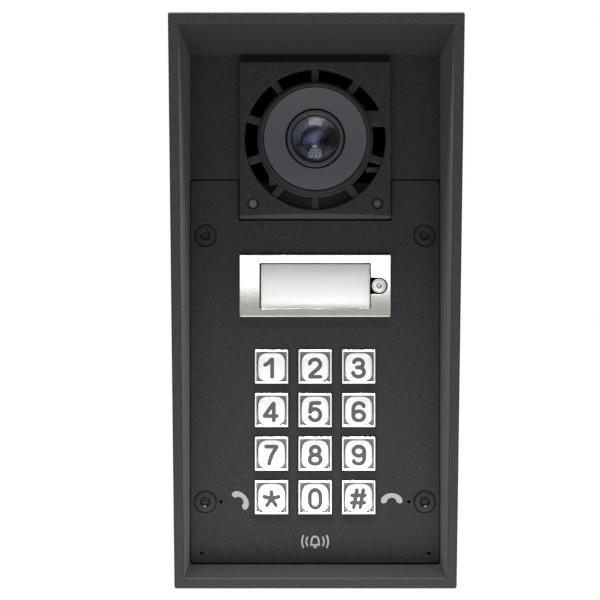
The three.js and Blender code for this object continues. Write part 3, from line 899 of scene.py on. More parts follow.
class Finishes(Enum):
    """Every finish on the station."""

    # Dark grey polyester powder on die-cast aluminium: a dull sheen with a coarse peel.
    CASTING = PowderCoat("powder_coated_casting", "#121113", 0.55, light="#272629", strength=0.5)
    # The same powder on flat sheet, where it lies finer and a little darker.
    SHEET = PowderCoat(
        "powder_coated_sheet", "#161517", 0.58, light="#252427", grain_mm=0.45, strength=0.3
    )
    # Plain milled aluminium: bright with short cross marks.
    MILLED = BrushedSteel(
        "milled_aluminium", "#b9bbbd", 0.38, 1.0, dark="#9a9c9e", stretch=(12, 1, 1)
    )
    # Stainless steel, finely brushed along its length: bright, with clear but streaky reflections.
    STAINLESS = BrushedSteel(
        "brushed_stainless", "#e8e8e4", 0.06, 1.0, dark="#d4d4ce", strength=0.05, stretch=(10, 1, 1)
    )
    # Satin chrome on the keys: almost white in a white room.
    CHROME = SatinChrome("satin_chrome", "#e7e6e6", 0.2, 1.0)
    # The floor round a key's pillow: duller chrome, its darker grey a painted shade of the recess.
    RECESS = SatinChrome("chrome_painted_shade", "#6e6d6c", 0.4, 1.0)
    # Black-oxide security screws, slightly oiled.
    BLACK_STEEL = SatinChrome("black_oxide_steel", "#1b1a1d", 0.38, 0.6)
    # Bright zinc plate on small fixings: a cold, slightly cloudy shine.
    ZINC = SatinChrome("zinc_plate", "#d9dadb", 0.2, 1.0)
    # Drawn spring wire: smooth bright steel.
    SPRING = SatinChrome("spring_wire", "#c4c5c6", 0.28, 1.0)
    # Moulded black ABS: a soft, slightly blotchy shine.
    BLACK_PLASTIC = MouldedPlastic("black_moulding", "#1b1b1e", 0.42)
    # The lens ring's finer black moulding, a little glossier, so that its rounded edge catches light.
    RING_PLASTIC = MouldedPlastic("lens_ring_moulding", "#232125", 0.35)
    # Smoked polycarbonate: a smooth dark grey disc with a clear reflection.
    WINDOW = MouldedPlastic("smoked_polycarbonate", "#303338", 0.12, strength=0.0)
    # Opal white plastic, which spreads the lamps' light inside the panel.
    WHITE_PLASTIC = MouldedPlastic("opal_light_guide", "#e7e7e4", 0.4)
    # The daylight sensor's cap: milky, but dull grey with nothing lit behind it.
    DIFFUSER = MouldedPlastic("opal_sensor_cap", "#3e403e", 0.3)
    # Infrared filter: nearly black, with a dull red in it.
    INFRARED = MouldedPlastic("infrared_filter", "#241717", 0.3)
    # The lamp's crystal, a pinkish grey bead behind the filter.
    BEAD = MouldedPlastic("lamp_crystal", "#6e5a58", 0.3)
    # Clear polycarbonate over the card, a little hazy from handling.
    CLEAR = ClearPart("clear_polycarbonate", "#ffffff", 0.2, ior=1.58)
    # The camera's dome: thin coated glass that mirrors a faint cold blue and bends little.
    DOME = ClearPart("dome_glass", "#d4d6dc", 0.01, ior=1.3, coating="#c6cfe6")
    # The coated inner lens, with painted reflections: brown at one side, violet-blue at the other.
    LENS = LensWithPaintedReflections(
        "inner_lens_painted_reflections", "#27170f", 0.08, reach=4.8,
        tones=((0.0, "#15100d"), (0.3, "#4c3929"), (0.45, "#101014"), (0.6, "#4f566f"), (0.8, "#8f98b6"),
               (1.0, "#3a3e4a")),
    )
    # The barrel round it, in gloss black with painted reflections: a cold painted highlight below and a broad
    # grey one above.
    BARREL = LensWithPaintedReflections(
        "lens_barrel_painted_reflections", "#3c3d42", 0.15,
        tones=((0.0, "#5f6d75"), (0.14, "#4c5961"), (0.2, "#1a1310"), (0.42, "#261f1a"), (0.52, "#0e0e11"),
               (0.62, "#2b2d32"), (0.85, "#585b61"), (1.0, "#2c2d31")),
    )
    # Uncoated card stock for the name: matt and evenly white but for its painted shade.
    CARD = ShadedCard("name_card_stock", "#e6e6e5", 0.7)
    # Silk-screened signs: thin matt ink, so the dark coat dulls its white to a warm grey.
    PRINT = MouldedPlastic("silk_screen_white", "#999694", 0.6)
    # Enamel in the keys' signs: an even dark grey against the plating.
    ENAMEL = MouldedPlastic("grey_enamel_fill", "#424142", 0.5)
    # Moulded rubber: dull and nearly black, with a coarse skin.
    RUBBER = MouldedPlastic("black_rubber", "#1b1b1c", 0.8, grain_mm=0.6, strength=0.3)
    # The keypad's silicone mat: pale, translucent-looking and dull.
    SILICONE = MouldedPlastic("silicone_mat", "#cdd0d2", 0.55)
    # Black felt behind the slots, and black fills in small holes and gaps, all without shine: partly real
    # felt, partly a painted shadow, so that they read as holes.
    FELT_AND_PAINTED_SHADOW = MouldedPlastic("black_felt_and_painted_shadow", "#020202", 1.0, ior=1.05, grain_mm=0.4, strength=0.6)
    # The loudspeaker's cone: fibrous coated paper, dull and dark grey.
    PAPER = MouldedPlastic("coated_cone_paper", "#242427", 0.85, grain_mm=0.8, strength=0.4)
    # Its ring magnet: ground ferrite, a flat dark grey.
    FERRITE = MouldedPlastic("ground_ferrite", "#2a2a2c", 0.6)
    # The keypad's ribbon cable: pale grey polyester with a low shine.
    RIBBON = MouldedPlastic("polyester_ribbon", "#c3c6c9", 0.4)
    # The circuit board: green, with lighter tracks.
    BOARD = CircuitBoard("solder_mask", "#1d5a37", 0.35)

    def material(self) -> bpy.types.Material:
        """The Blender material of this finish."""
        return self.value.material()


SLOT_FINISH = {
    "coated_casting": Finishes.CASTING,
    "coated_sheet": Finishes.SHEET,
    "raw_sheet": Finishes.MILLED,
    "stainless_frame": Finishes.STAINLESS,
    "polished_key": Finishes.CHROME,
    "black_steel": Finishes.BLACK_STEEL,
    "zinc_steel": Finishes.ZINC,
    "spring_steel": Finishes.SPRING,
    "black_plastic": Finishes.BLACK_PLASTIC,
    "grey_window": Finishes.WINDOW,
    "white_plastic": Finishes.WHITE_PLASTIC,
    "clear_plastic": Finishes.CLEAR,
    "optical_glass": Finishes.DOME,
    "infrared_lens": Finishes.INFRARED,
    "card": Finishes.CARD,
    "black_rubber": Finishes.RUBBER,
    "silicone": Finishes.SILICONE,
    "circuit_board": Finishes.BOARD,
    "ferrite": Finishes.FERRITE,
    "speaker_paper": Finishes.PAPER,
    "ribbon": Finishes.RIBBON,
}


# ---------------------------------------------------------------- the frame's sizes


@dataclass(frozen=True)
class Extent:
    """A CAD node's box in millimetres: across, out from the wall, and up."""

    left: float
    right: float
    back: float
    front: float
    low: float
    high: float

    @classmethod
    def of(cls, node: str) -> Extent:
        """Reads the box of a CAD node at rest.

        Args:
            node: The node's name.

        Returns:
            Its box.
        """
        lowest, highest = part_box(node)
        return cls(
            lowest.x / MM, highest.x / MM, -highest.y / MM, -lowest.y / MM, lowest.z / MM, highest.z / MM
        )

    @property
    def centre(self) -> Point:
        """The middle in x and z."""
        return (self.left + self.right) / 2, (self.low + self.high) / 2

    @property
    def width(self) -> float:
        """The size across."""
        return self.right - self.left

    @property
    def height(self) -> float:
        """The size up."""
        return self.high - self.low


def place(piece: bpy.types.Object, body: str, slot: str, *nodes: str) -> bpy.types.Object:
    """Puts a finished piece on its body, in place of the CAD nodes that it stands for.

    Args:
        piece: The finished object.
        body: The CAD body that it moves with.
        slot: The record's material slot; not used.
        nodes: The CAD nodes that it stands for.

    Returns:
        The same object.
    """
    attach(piece, body)
    if nodes:
        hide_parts(*nodes)
    log.info("%s: %d faces on %s", piece.name, len(piece.data.polygons), body)
    return piece


# ---------------------------------------------------------------- geometry nodes


class RepeatTree:
    """A Geometry Nodes tree that repeats an object's own mesh and gives it one material."""

    def __init__(self, name: str, inputs: Sequence[tuple[str, str]]) -> None:
        """Makes the tree with its named inputs.

        Args:
            name: The tree's name.
            inputs: Each input's name and socket type.
        """
        self.tree = bpy.data.node_groups.new(name, "GeometryNodeTree")
        face = self.tree.interface
        face.new_socket("Geometry", in_out="INPUT", socket_type="NodeSocketGeometry")
        self.sockets = {
            label: face.new_socket(label, in_out="INPUT", socket_type=kind) for label, kind in inputs
        }
        face.new_socket("Geometry", in_out="OUTPUT", socket_type="NodeSocketGeometry")
        self.start = add_node(self.tree, "NodeGroupInput")

    def finish(
        self, points: bpy.types.NodeSocket, rotation: bpy.types.NodeSocket | None, finish: Finishes
    ) -> None:
        """Puts the mesh on the points and ends the tree.

        Args:
            points: Where the copies go.
            rotation: How each is turned, if it is.
            finish: What they are made of.
        """
        placed = {"Points": points, "Instance": self.start.outputs["Geometry"]}
        if rotation:
            placed["Rotation"] = rotation
        copies = add_node(self.tree, "GeometryNodeInstanceOnPoints", placed)
        real = add_node(self.tree, "GeometryNodeRealizeInstances", {"Geometry": copies.outputs["Instances"]})
        dressed = add_node(
            self.tree, "GeometryNodeSetMaterial",
            {"Geometry": real.outputs["Geometry"], "Material": finish.material()},
        )
        add_node(self.tree, "NodeGroupOutput", {"Geometry": dressed.outputs["Geometry"]})

    def apply(self, piece: bpy.types.Object, finish: Finishes, **values: float) -> bpy.types.Object:
        """Runs the tree on a piece.

        Args:
            piece: The one that is repeated, which is removed.
            finish: What it is made of.
            values: The tree's inputs by name.

        Returns:
            The plain result, with all the copies in its mesh.
        """
        piece.modifiers.clear()
        step = piece.modifiers.new("repeat", "NODES")
        step.node_group = self.tree
        for label, value in values.items():
            step[self.sockets[label].identifier] = value
        return finished(plain(piece), finish)


def ring_tree(finish: Finishes) -> RepeatTree:
    """Copies turned about an axis that points out from the wall through the given height.

    Args:
        finish: What the copies are made of.

    Returns:
        The tree, with the inputs Count and Height.
    """
    made = RepeatTree("around_the_camera", [("Count", "NodeSocketInt"), ("Height", "NodeSocketFloat")])
    tree, start = made.tree, made.start
    centre = add_node(tree, "ShaderNodeCombineXYZ", {"Z": start.outputs["Height"]})
    points = add_node(
        tree, "GeometryNodePoints",
        {"Count": start.outputs["Count"], "Position": centre.outputs["Vector"]},
    )
    index = add_node(tree, "GeometryNodeInputIndex")
    share = add_node(
        tree, "ShaderNodeMath", {0: index.outputs["Index"], 1: start.outputs["Count"]}, operation="DIVIDE"
    )
    angle = add_node(
        tree, "ShaderNodeMath", {0: share.outputs["Value"], 1: 2 * math.pi}, operation="MULTIPLY"
    )
    turn = add_node(tree, "ShaderNodeCombineXYZ", {"Y": angle.outputs["Value"]})
    made.finish(points.outputs["Points"], turn.outputs["Vector"], finish)
    return made


def corner_tree(finish: Finishes) -> RepeatTree:
    """Copies at the four corners of an upright rectangle.

    Args:
        finish: What the copies are made of.

    Returns:
        The tree, with the inputs Width, Rise and Height, the rectangle's middle.
    """
    labels = [(label, "NodeSocketFloat") for label in ("Width", "Rise", "Height")]
    made = RepeatTree("at_four_corners", labels)
    tree, start = made.tree, made.start
    grid = add_node(
        tree, "GeometryNodeMeshGrid",
        {"Size X": start.outputs["Width"], "Size Y": start.outputs["Rise"], "Vertices X": 2, "Vertices Y": 2},
    )
    middle = add_node(tree, "ShaderNodeCombineXYZ", {"Z": start.outputs["Height"]})
    upright = add_node(
        tree, "GeometryNodeTransform",
        {
            "Geometry": grid.outputs["Mesh"], "Translation": middle.outputs["Vector"],
            "Rotation": (math.pi / 2, 0, 0),
        },
    )
    made.finish(upright.outputs["Geometry"], None, finish)
    return made


# ---------------------------------------------------------------- housing


@dataclass
class Housing:
    """The casting: a shell with a slanted rim and a deep pocket, and the floor above the panel."""

    sill_depth: float = 59.6
    face_depth: float = 45.2
    ledge_depth: float = 41.6
    ledge_back: float = 38.6
    back_wall: float = 4.6
    rim_edge: float = 0.7
    pocket_edge: float = 0.5
    rim_pocket: Place = (50.7, -104.4, 104.1)  # openings are a half width, a low and a high
    floor_pocket: Place = (49.8, -102.3, 100.4)
    panel_pocket: Place = (50.1, -102.3, 100.4)
    ledge_opening: Place = (45.2, -97.4, 96.0)
    cavity: Place = (48.5, -102.5, 102.5)
    back_opening: Place = (52.3, -106.3, 106.3)
    panel_high: float = 51.0
    corner_steps: int = 6
    size: Extent = field(default_factory=lambda: Extent.of("housing"))

    def rim_depth(self, z: float) -> float:
        """Depth of the slanted rim at a height."""
        share = (z - self.size.low) / self.size.height
        return self.sill_depth + (self.size.front - self.sill_depth) * share

    def loop(self, half: float, low: float, high: float, radius: float) -> list[Point]:
        """A rounded upright rectangle with the same number of points whatever its size."""
        middle = (0.0, (low + high) / 2)
        return soften(rectangle(middle, 2 * half, high - low), radius, self.corner_steps)

    def shell(self) -> Surface:
        """Draws the shell ring by ring: round the outside, over the rim and down into the pocket.

        Returns:
            The closed shell.
        """
        made = Surface()
        half, low, high = self.size.right, self.size.low, self.size.high
        quarter = [math.pi / 2 * k / 4 for k in range(5)]
        rings = [
            made.level(self.loop(*self.back_opening, 0.6), 0.0),
            made.level(self.loop(half - 0.4, low + 0.4, high - 0.4, 0.7), 0.0),
            made.level(self.loop(half, low, high, 1.0), 0.4),
        ]
        for turn in quarter:
            cut, lift = self.rim_edge * (1 - math.cos(turn)), self.rim_edge * (1 - math.sin(turn))
            outline = self.loop(half - cut, low + cut, high - cut, 1.0)
            rings.append(made.ring((x, self.rim_depth(z) - lift, z) for x, z in outline))
        wide, deep, tall = self.rim_pocket
        for turn in reversed(quarter):
            grow, lift = self.pocket_edge * (1 - math.cos(turn)), self.pocket_edge * (1 - math.sin(turn))
            outline = self.loop(wide + grow, deep - grow, tall + grow, 1.3)
            rings.append(made.ring((x, self.rim_depth(z) - lift, z) for x, z in outline))
        inner = [
            (self.floor_pocket, 1.3, self.face_depth),
            (self.panel_pocket, 1.3, self.face_depth - 0.2),
            (self.panel_pocket, 1.3, self.ledge_depth),
            (self.ledge_opening, 1.0, self.ledge_depth),
            (self.ledge_opening, 1.0, self.ledge_back),
            (self.cavity, 1.0, self.ledge_back),
            (self.cavity, 1.0, self.back_wall),
            (self.back_opening, 0.6, self.back_wall),
        ]
        rings.extend(made.level(self.loop(*sizes, radius), depth) for sizes, radius, depth in inner)
        made.chain(rings, closed=True)
        return made

    def floor(self, camera: Point, duct_radius: float, block_half: float) -> Surface:
        """Makes the floor under the hood, above the panel and behind the camera block.

        Args:
            camera: The camera's axis.
            duct_radius: The radius of its hole behind the slots.
            block_half: Half the camera block's width.

        Returns:
            The plate.
        """
        low, high, wide = self.panel_high, self.floor_pocket[2] + 0.3, self.floor_pocket[0] + 0.2
        behind = block_half - 0.2
        outline = [
            (-wide, low), (-behind, low), (-behind, 36.0), (behind, 36.0), (behind, low),
            (wide, low), (wide, high), (-wide, high),
        ]
        depths = (self.face_depth - 3.0, self.face_depth)
        return Surface().plate(outline, [circle(camera, duct_radius, 96)], depths, edge=0.2)

    def ledge(self, block_inner: float, block_low: float) -> Surface:
        """Makes the shelf behind the panel's top edge, with the camera block's hollow left open.

        Args:
            block_inner: Half the hollow's width.
            block_low: The hollow's lowest height.

        Returns:
            The plate.
        """
        low, high, wide = 30.3, self.panel_high + 1.0, self.ledge_opening[0] + 0.2
        outline = [
            (-wide, low), (wide, low), (wide, high), (block_inner, high), (block_inner, block_low),
            (-block_inner, block_low), (-block_inner, high), (-wide, high),
        ]
        return Surface().plate(outline, [], (self.ledge_back, self.ledge_depth), edge=0.2)

    def build(self, block: CameraBlock, camera: Point, sensors: Sequence[Point]) -> None:
        """Makes the casting's pieces, the camera block's too.

        Args:
            block: The camera block.
            camera: The camera's axis.
            sensors: The places of the two sensors beside it.
        """
        finish = block.finish
        for piece in (
            self.shell().piece("housing_shell", finish),
            self.floor(camera, block.hollow + 0.3, block.half).piece("hood_floor", finish),
            self.ledge(block.half - 2.7, block.low + 2.7).piece("gasket_ledge", finish),
            block.body(camera, sensors),
            block.hub_ring(camera).piece("camera_hub", finish),
            block.spoke_ring(camera),
            block.ribs(camera),
            block.drain(camera),
        ):
            place(piece, STATION, "coated_casting", "housing")


@dataclass
class CameraBlock:
    """The raised square block: its round well, ten spokes, drain ramp, hub and sensor holes."""

    half: float = 29.9
    low: float = 35.15
    high: float = 96.5
    front: float = 50.2
    back: float = 44.9
    root: float = 41.4
    slope: float = 4.25
    well: float = 27.7
    undercut: float = 0.9  # how far the well opens out behind its lip
    hub: Point = (20.45, 22.8)
    spoke_width: float = 2.9
    spoke_depths: Point = (46.5, 49.0)
    spokes: int = 10
    sensor_hole: float = 2.2
    bevel: Point = (1.7, 0.8)  # height of the arched bevel in the middle and at the sides
    arch_steps: int = 24
    edge: float = 0.35
    floor: float = 40.0
    sides: int = 144
    rib_places: Sequence[tuple[Point, float, float, Point]] = (  # middle, width, height and depths
        ((23.3, 74.6), 7.8, 6.2, (46.5, 48.9)),
        ((-16.2, 51.6), 4.2, 6.4, (44.6, 47.4)),
        ((23.2, 54.65), 6.0, 1.9, (44.6, 47.4)),
    )
    finish: Finishes = Finishes.CASTING

    @property
    def hollow(self) -> float:
        """The well's radius behind its lip."""
        return self.well + self.undercut

    def section(self, x: float) -> list[Point]:
        """Draws the block's side profile, with the arched bevel under its face.

        Args:
            x: The distance across from the block's middle.

        Returns:
            The profile as (depth, z).
        """
        middle, side = self.bevel
        rise = middle - (middle - side) * (x / self.half) ** 2
        profile = [
            (self.root, self.low), (self.front - 0.45 * rise, self.low), (self.front, self.low + rise),
            (self.front, self.high), (self.back, self.high + self.slope),
            (self.root, self.high + self.slope),
        ]
        return soften(profile, [0, 0.1, 0.1, 0.5, 0, 0])

    def body(self, camera: Point, sensors: Sequence[Point]) -> bpy.types.Object:
        """Makes the block with its well and its sensor holes.

        Args:
            camera: The camera's axis.
            sensors: Where the sensor holes are.

        Returns:
            The block.
        """
        reach = self.half - self.edge
        spots = [-reach + 2 * reach * i / self.arch_steps for i in range(self.arch_steps + 1)]
        end = inset(self.section(reach), self.edge)
        stations = [(-self.half, end), *[(x, self.section(x)) for x in spots], (self.half, end)]
        block = Surface().bar(stations).piece("camera_block", self.finish)
        front, floor, past = self.front, self.floor, self.front + 2
        lip, mouth, bore = self.well + 0.32, self.sensor_hole + 0.2, self.sensor_hole
        well = [(0, floor), (self.hollow, floor), (self.hollow, front - 1.3), (self.well, front - 0.7),
                (self.well, front - 0.3), (lip, front + 0.02), (lip, past), (0, past)]
        hole = [(0, floor), (bore, floor), (bore, front - 0.15), (mouth, front + 0.05), (mouth, past),
                (0, past)]
        tools = [Surface().turned(well, self.sides, camera).piece("well", self.finish)]
        tools += [Surface().turned(hole, 32, spot).piece("hole", self.finish) for spot in sensors]
        return carved(block, tools, self.finish)

    def hub_ring(self, camera: Point) -> Surface:
        """Makes the ring between the slots and the camera, with a sloping nose.

        Args:
            camera: The camera's axis.

        Returns:
            The ring.
        """
        inner, outer = self.hub
        profile = [(inner, 46.5), (outer, 46.5), (outer, 49.9), (outer - 1.2, 52.2), (inner, 52.2)]
        return Surface().turned(soften(profile, 0.25, 3), self.sides, camera, ring=True)

    def spoke_ring(self, camera: Point) -> bpy.types.Object:
        """Makes one spoke and repeats it round the camera.

        Args:
            camera: The camera's axis.

        Returns:
            All the spokes.
        """
        inner, outer = self.hub[1] - 0.8, self.hollow + 0.3
        outline = rectangle((0, (inner + outer) / 2), self.spoke_width, outer - inner)
        spoke = Surface().plate(outline, [], self.spoke_depths, edge=0.3).piece("slot_spokes", self.finish)
        return ring_tree(self.finish).apply(spoke, self.finish, Count=self.spokes, Height=camera[1] * MM)

    def ribs(self, camera: Point) -> bpy.types.Object:
        """Makes the ribs behind the slots: one beside a spoke, and one lower down on each side.

        Args:
            camera: The camera's axis.

        Returns:
            The ribs as one piece.
        """
        made = Surface()
        for middle, width, height, depths in self.rib_places:
            made.plate(rectangle(middle, width, height), [], depths, edge=0.3)
        return self.kept_in_ring(made.piece("slot_ribs", self.finish), camera)

    def kept_in_ring(self, piece: bpy.types.Object, camera: Point) -> bpy.types.Object:
        """Trims a piece to the ring of slots, with a little left inside the block and the hub.

        Args:
            piece: The piece, which is removed.
            camera: The camera's axis.

        Returns:
            What is left of it.
        """
        inner, outer = self.hub[1] - 0.3, self.hollow + 0.2
        ring = [(inner, self.floor), (outer, self.floor), (outer, 50), (inner, 50)]
        tool = Surface().turned(ring, 96, camera, ring=True).piece("ring", self.finish)
        return carved(piece, [tool], self.finish, "INTERSECT")

    def drain(self, camera: Point) -> bpy.types.Object:
        """Makes the ramp that closes the bottom of the well and slopes out to the face.

        Args:
            camera: The camera's axis.

        Returns:
            The ramp.
        """
        section = [(42.4, 37.6), (42.4, 49.6), (44.2, 49.6), (48.9, 37.6)]
        slope = Surface().bar([(-22, section), (22, section)])
        return self.kept_in_ring(slope.piece("drain_ramp", self.finish), camera)


# ---------------------------------------------------------------- front panel


@dataclass
class FrontPanel:
    """The flush panel with its key and button openings, countersinks and printed signs."""

    notch_half: float = 30.5
    notch_low: float = 34.55
    thickness: float = 2.0
    key_gap: float = 0.42
    pin_radius: float = 0.65
    pins: Sequence[Point] = ((-45.2, -98.0), (45.2, -98.0), (-37.4, -77.4), (37.4, -77.4))
    seat: Point = (2.45, 4.65)  # countersink radii, at the back and at the face
    hole_shadow_depths: Point = (1.4, 0.8)  # under the face
    ink: float = 0.05
    handsets: Sequence[tuple[Point, float]] = (((30.45, -75.98), 0.0), ((-29.2, -76.3), -50.0))
    emblem: Point = (0.0, -93.15)
    size: Extent = field(default_factory=lambda: Extent.of("front_panel"))
    finish: Finishes = Finishes.SHEET

    def outline(self) -> list[Point]:
        """Draws the panel's outline, notched at the top for the camera block.

        Returns:
            The outline.
        """
        left, right, low, high = self.size.left, self.size.right, self.size.low, self.size.high
        corners = [
            (left, low), (right, low), (right, high), (self.notch_half, high),
            (self.notch_half, self.notch_low), (-self.notch_half, self.notch_low),
            (-self.notch_half, high), (left, high),
        ]
        return soften(corners, [1.5, 1.5, 2.1, 0.4, 0.6, 0.6, 0.4, 2.1], 6)

    def build(self, keys: Sequence[Extent], button: Extent, screws: Sequence[Point]) -> None:
        """Makes the panel.

        Args:
            keys: The caps that come through it, as boxes of their visible part.
            button: The call button's frame.
            screws: Where its screws are.
        """
        face, gap = self.size.front, self.key_gap
        holes = [
            soften(rectangle(opening.centre, opening.width + 2 * gap, opening.height + 2 * gap), 0.5)
            for opening in [*keys, button]
        ]
        holes += [circle(spot, self.seat[1], 48) for spot in screws]
        holes += [circle(spot, self.pin_radius, 16) for spot in self.pins]
        panel = Surface().plate(self.outline(), holes, (face - self.thickness, face), edge=0.22)
        small, large = self.seat
        seat = [(small, face - self.thickness), (large + 0.3, face - self.thickness),
                (large + 0.3, face - 0.35), (large - 0.1, face - 0.3), (small, face - 1.9)]
        for spot in screws:
            panel.turned(seat, 48, spot, ring=True)
        place(panel.piece("panel_sheet", self.finish), STATION, "coated_sheet", "front_panel")
        # Shineless black discs deep in the pin holes: a painted shadow that keeps the holes dark.
        hole_shadows, radius = Surface(), self.pin_radius - 0.02
        deep, shallow = (face - depth for depth in self.hole_shadow_depths)
        for spot in self.pins:
            hole_shadows.turned([(0, deep), (radius, deep), (radius, shallow), (0, shallow)], 16, spot)
        place(hole_shadows.piece("pin_hole_shadows", Finishes.FELT_AND_PAINTED_SHADOW), STATION, "black_rubber")
        self.signs()

    def signs(self) -> None:
        """The printed handset signs and the small ringing-bell emblem under the keypad."""
        made = Surface()
        face, thick = self.size.front, self.ink

        def flat(_x: float, _z: float) -> float:
            """The panel's face."""
            return face

        for centre, turn in self.handsets:
            made.plate(moved(handset(), centre, turn), [], (face, face + thick), 0.02)
        for line, width, closed in bell():
            made.stroke(moved(line, self.emblem, 0.0), width, flat, thick, closed)
        place(made.piece("printed_signs", Finishes.PRINT), STATION, "card")


def moved(line: Sequence[Point], to: Point, turn: float) -> list[Point]:
    """A line turned about the origin by some degrees, then moved."""
    c, s = math.cos(math.radians(turn)), math.sin(math.radians(turn))
    return [(to[0] + x * c - z * s, to[1] + x * s + z * c) for x, z in line]


def handset() -> list[Point]:
    """Draws a telephone handset: an arched grip with two square ends pointing down.

    Returns:
        The outline, anticlockwise, about its own middle.
    """
    back = arc((0, -1.15), (4.35, 3.2), 168, 12, 18)
    end = [(4.2, -1.75), (3.3, -2.0), (1.95, -1.55), (1.85, -0.55)]
    inside = arc((0, -0.75), (1.6, 1.05), 25, 155, 8)
    mirrored = [(-x, z) for x, z in reversed(end)]
    ends = [0.3] * len(end)
    rounding = [*[0.0] * len(back), *ends, *[0.0] * len(inside), *ends]
    return list(reversed(soften([*back, *end, *inside, *mirrored], rounding)))


def bell() -> list[tuple[list[Point], float, bool]]:
    """A small bell with a sound arc on each side, as strokes.

    Returns:
        Each stroke's line and width, and whether it closes.
    """
    dome = [(-2.0, -1.35), (-1.5, -0.7), (-1.4, 0.6), *arc((0, 0.7), (1.3, 1.3), 165, 15, 8), (1.4, 0.6),
            (1.5, -0.7), (2.0, -1.35)]
    lines = [(dome, 0.75, True), ([(-0.35, -2.25), (0.35, -2.25)], 0.8, False)]
    for side in (0, 180):
        lines.append((arc((0, 0), (3.5, 3.5), side - 28, side + 28, 8), 0.7, False))
        lines.append((arc((0, 0), (5.2, 5.2), side - 26, side + 26, 8), 0.7, False))
    return lines


# ---------------------------------------------------------------- keypad


class Glyph(Enum):
    """What each key says, by the last part of its node's name."""

    ONE = "1"
    TWO = "2"
    THREE = "3"
    FOUR = "4"
    FIVE = "5"
    SIX = "6"
    SEVEN = "7"
    EIGHT = "8"
    NINE = "9"
    STAR = "star"
    ZERO = "0"
    HASH = "hash"

    def strokes(self) -> list[tuple[list[Point], bool]]:
        """Draws the sign.

        Returns:
            Its centre lines about its own middle, and whether each closes.
        """
        top, low = 3.45, -3.45
        if self is Glyph.ONE:
            return [([(-2.5, 1.25), (-1.3, 2.0), (-0.2, 3.2)], False), ([(0.26, top), (0.26, low)], False)]
        if self is Glyph.TWO:
            hook = arc((-0.05, 1.5), (2.1, 1.95), 172, -35, 18)
            sweep = [(0.8, -0.6), (-0.7, -1.75), (-1.75, -2.75), (-2.15, low), (2.1, low)]
            return [([*hook, *sweep], False)]
        if self is Glyph.THREE:
            upper = arc((-0.15, 1.8), (1.85, 1.65), 160, -82, 16)
            lower = arc((-0.1, -1.55), (2.2, 1.9), 84, -172, 18)
            return [(upper, False), (lower, False), ([(-0.75, 0.25), (0.2, 0.25)], False)]
        if self is Glyph.FOUR:
            return [([(0.9, low), (0.9, top), (-2.85, -1.75), (2.05, -1.75)], False)]
        if self is Glyph.FIVE:
            bowl = arc((-0.1, -1.2), (2.15, 2.28), 150, -158, 20)
            return [([(1.75, top), (-1.55, top), (-2.0, 0.15)], False), (bowl, False)]
        if self is Glyph.SIX:
            stem = [(1.95, 2.2), *arc((0.1, 1.15), (2.25, 2.3), 35, 172, 14), (-2.2, -0.3), (-2.15, -1.7)]
            return [(stem, False), (arc((0, -1.65), (2.15, 1.85), 0, 360, 28)[:-1], True)]
        if self is Glyph.SEVEN:
            return [([(-2.1, top), (2.15, top), (1.2, 2.0), (0.2, 0.3), (-0.5, -1.6), (-0.95, low)], False)]
        if self is Glyph.EIGHT:
            return [
                (arc((0, 1.78), (1.75, 1.66), 0, 360, 24)[:-1], True),
                (arc((0, -1.65), (2.2, 1.84), 0, 360, 28)[:-1], True),
            ]
        if self is Glyph.NINE:
            return [([(-x, -z) for x, z in line], closed) for line, closed in Glyph.SIX.strokes()]
        if self is Glyph.STAR:
            reach = {90: 2.6, 164: 2.9, 16: 2.9, -56: 3.2, -124: 3.2}
            turns = [(math.radians(angle), far) for angle, far in reach.items()]
            return [([(0, 0.1), (far * math.cos(t), 0.1 + far * math.sin(t))], False) for t, far in turns]
        if self is Glyph.ZERO:
            ends = [*arc((0, 0.95), (2.1, 2.65), 0, 180, 16), *arc((0, -0.95), (2.1, 2.65), 180, 360, 16)]
            return [(ends, True)]
        return [
            ([(-0.75, top), (-2.0, low)], False), ([(1.8, top), (0.55, low)], False),
            ([(-2.6, 1.4), (2.4, 1.4)], False), ([(-2.8, -1.5), (2.2, -1.5)], False),
        ]


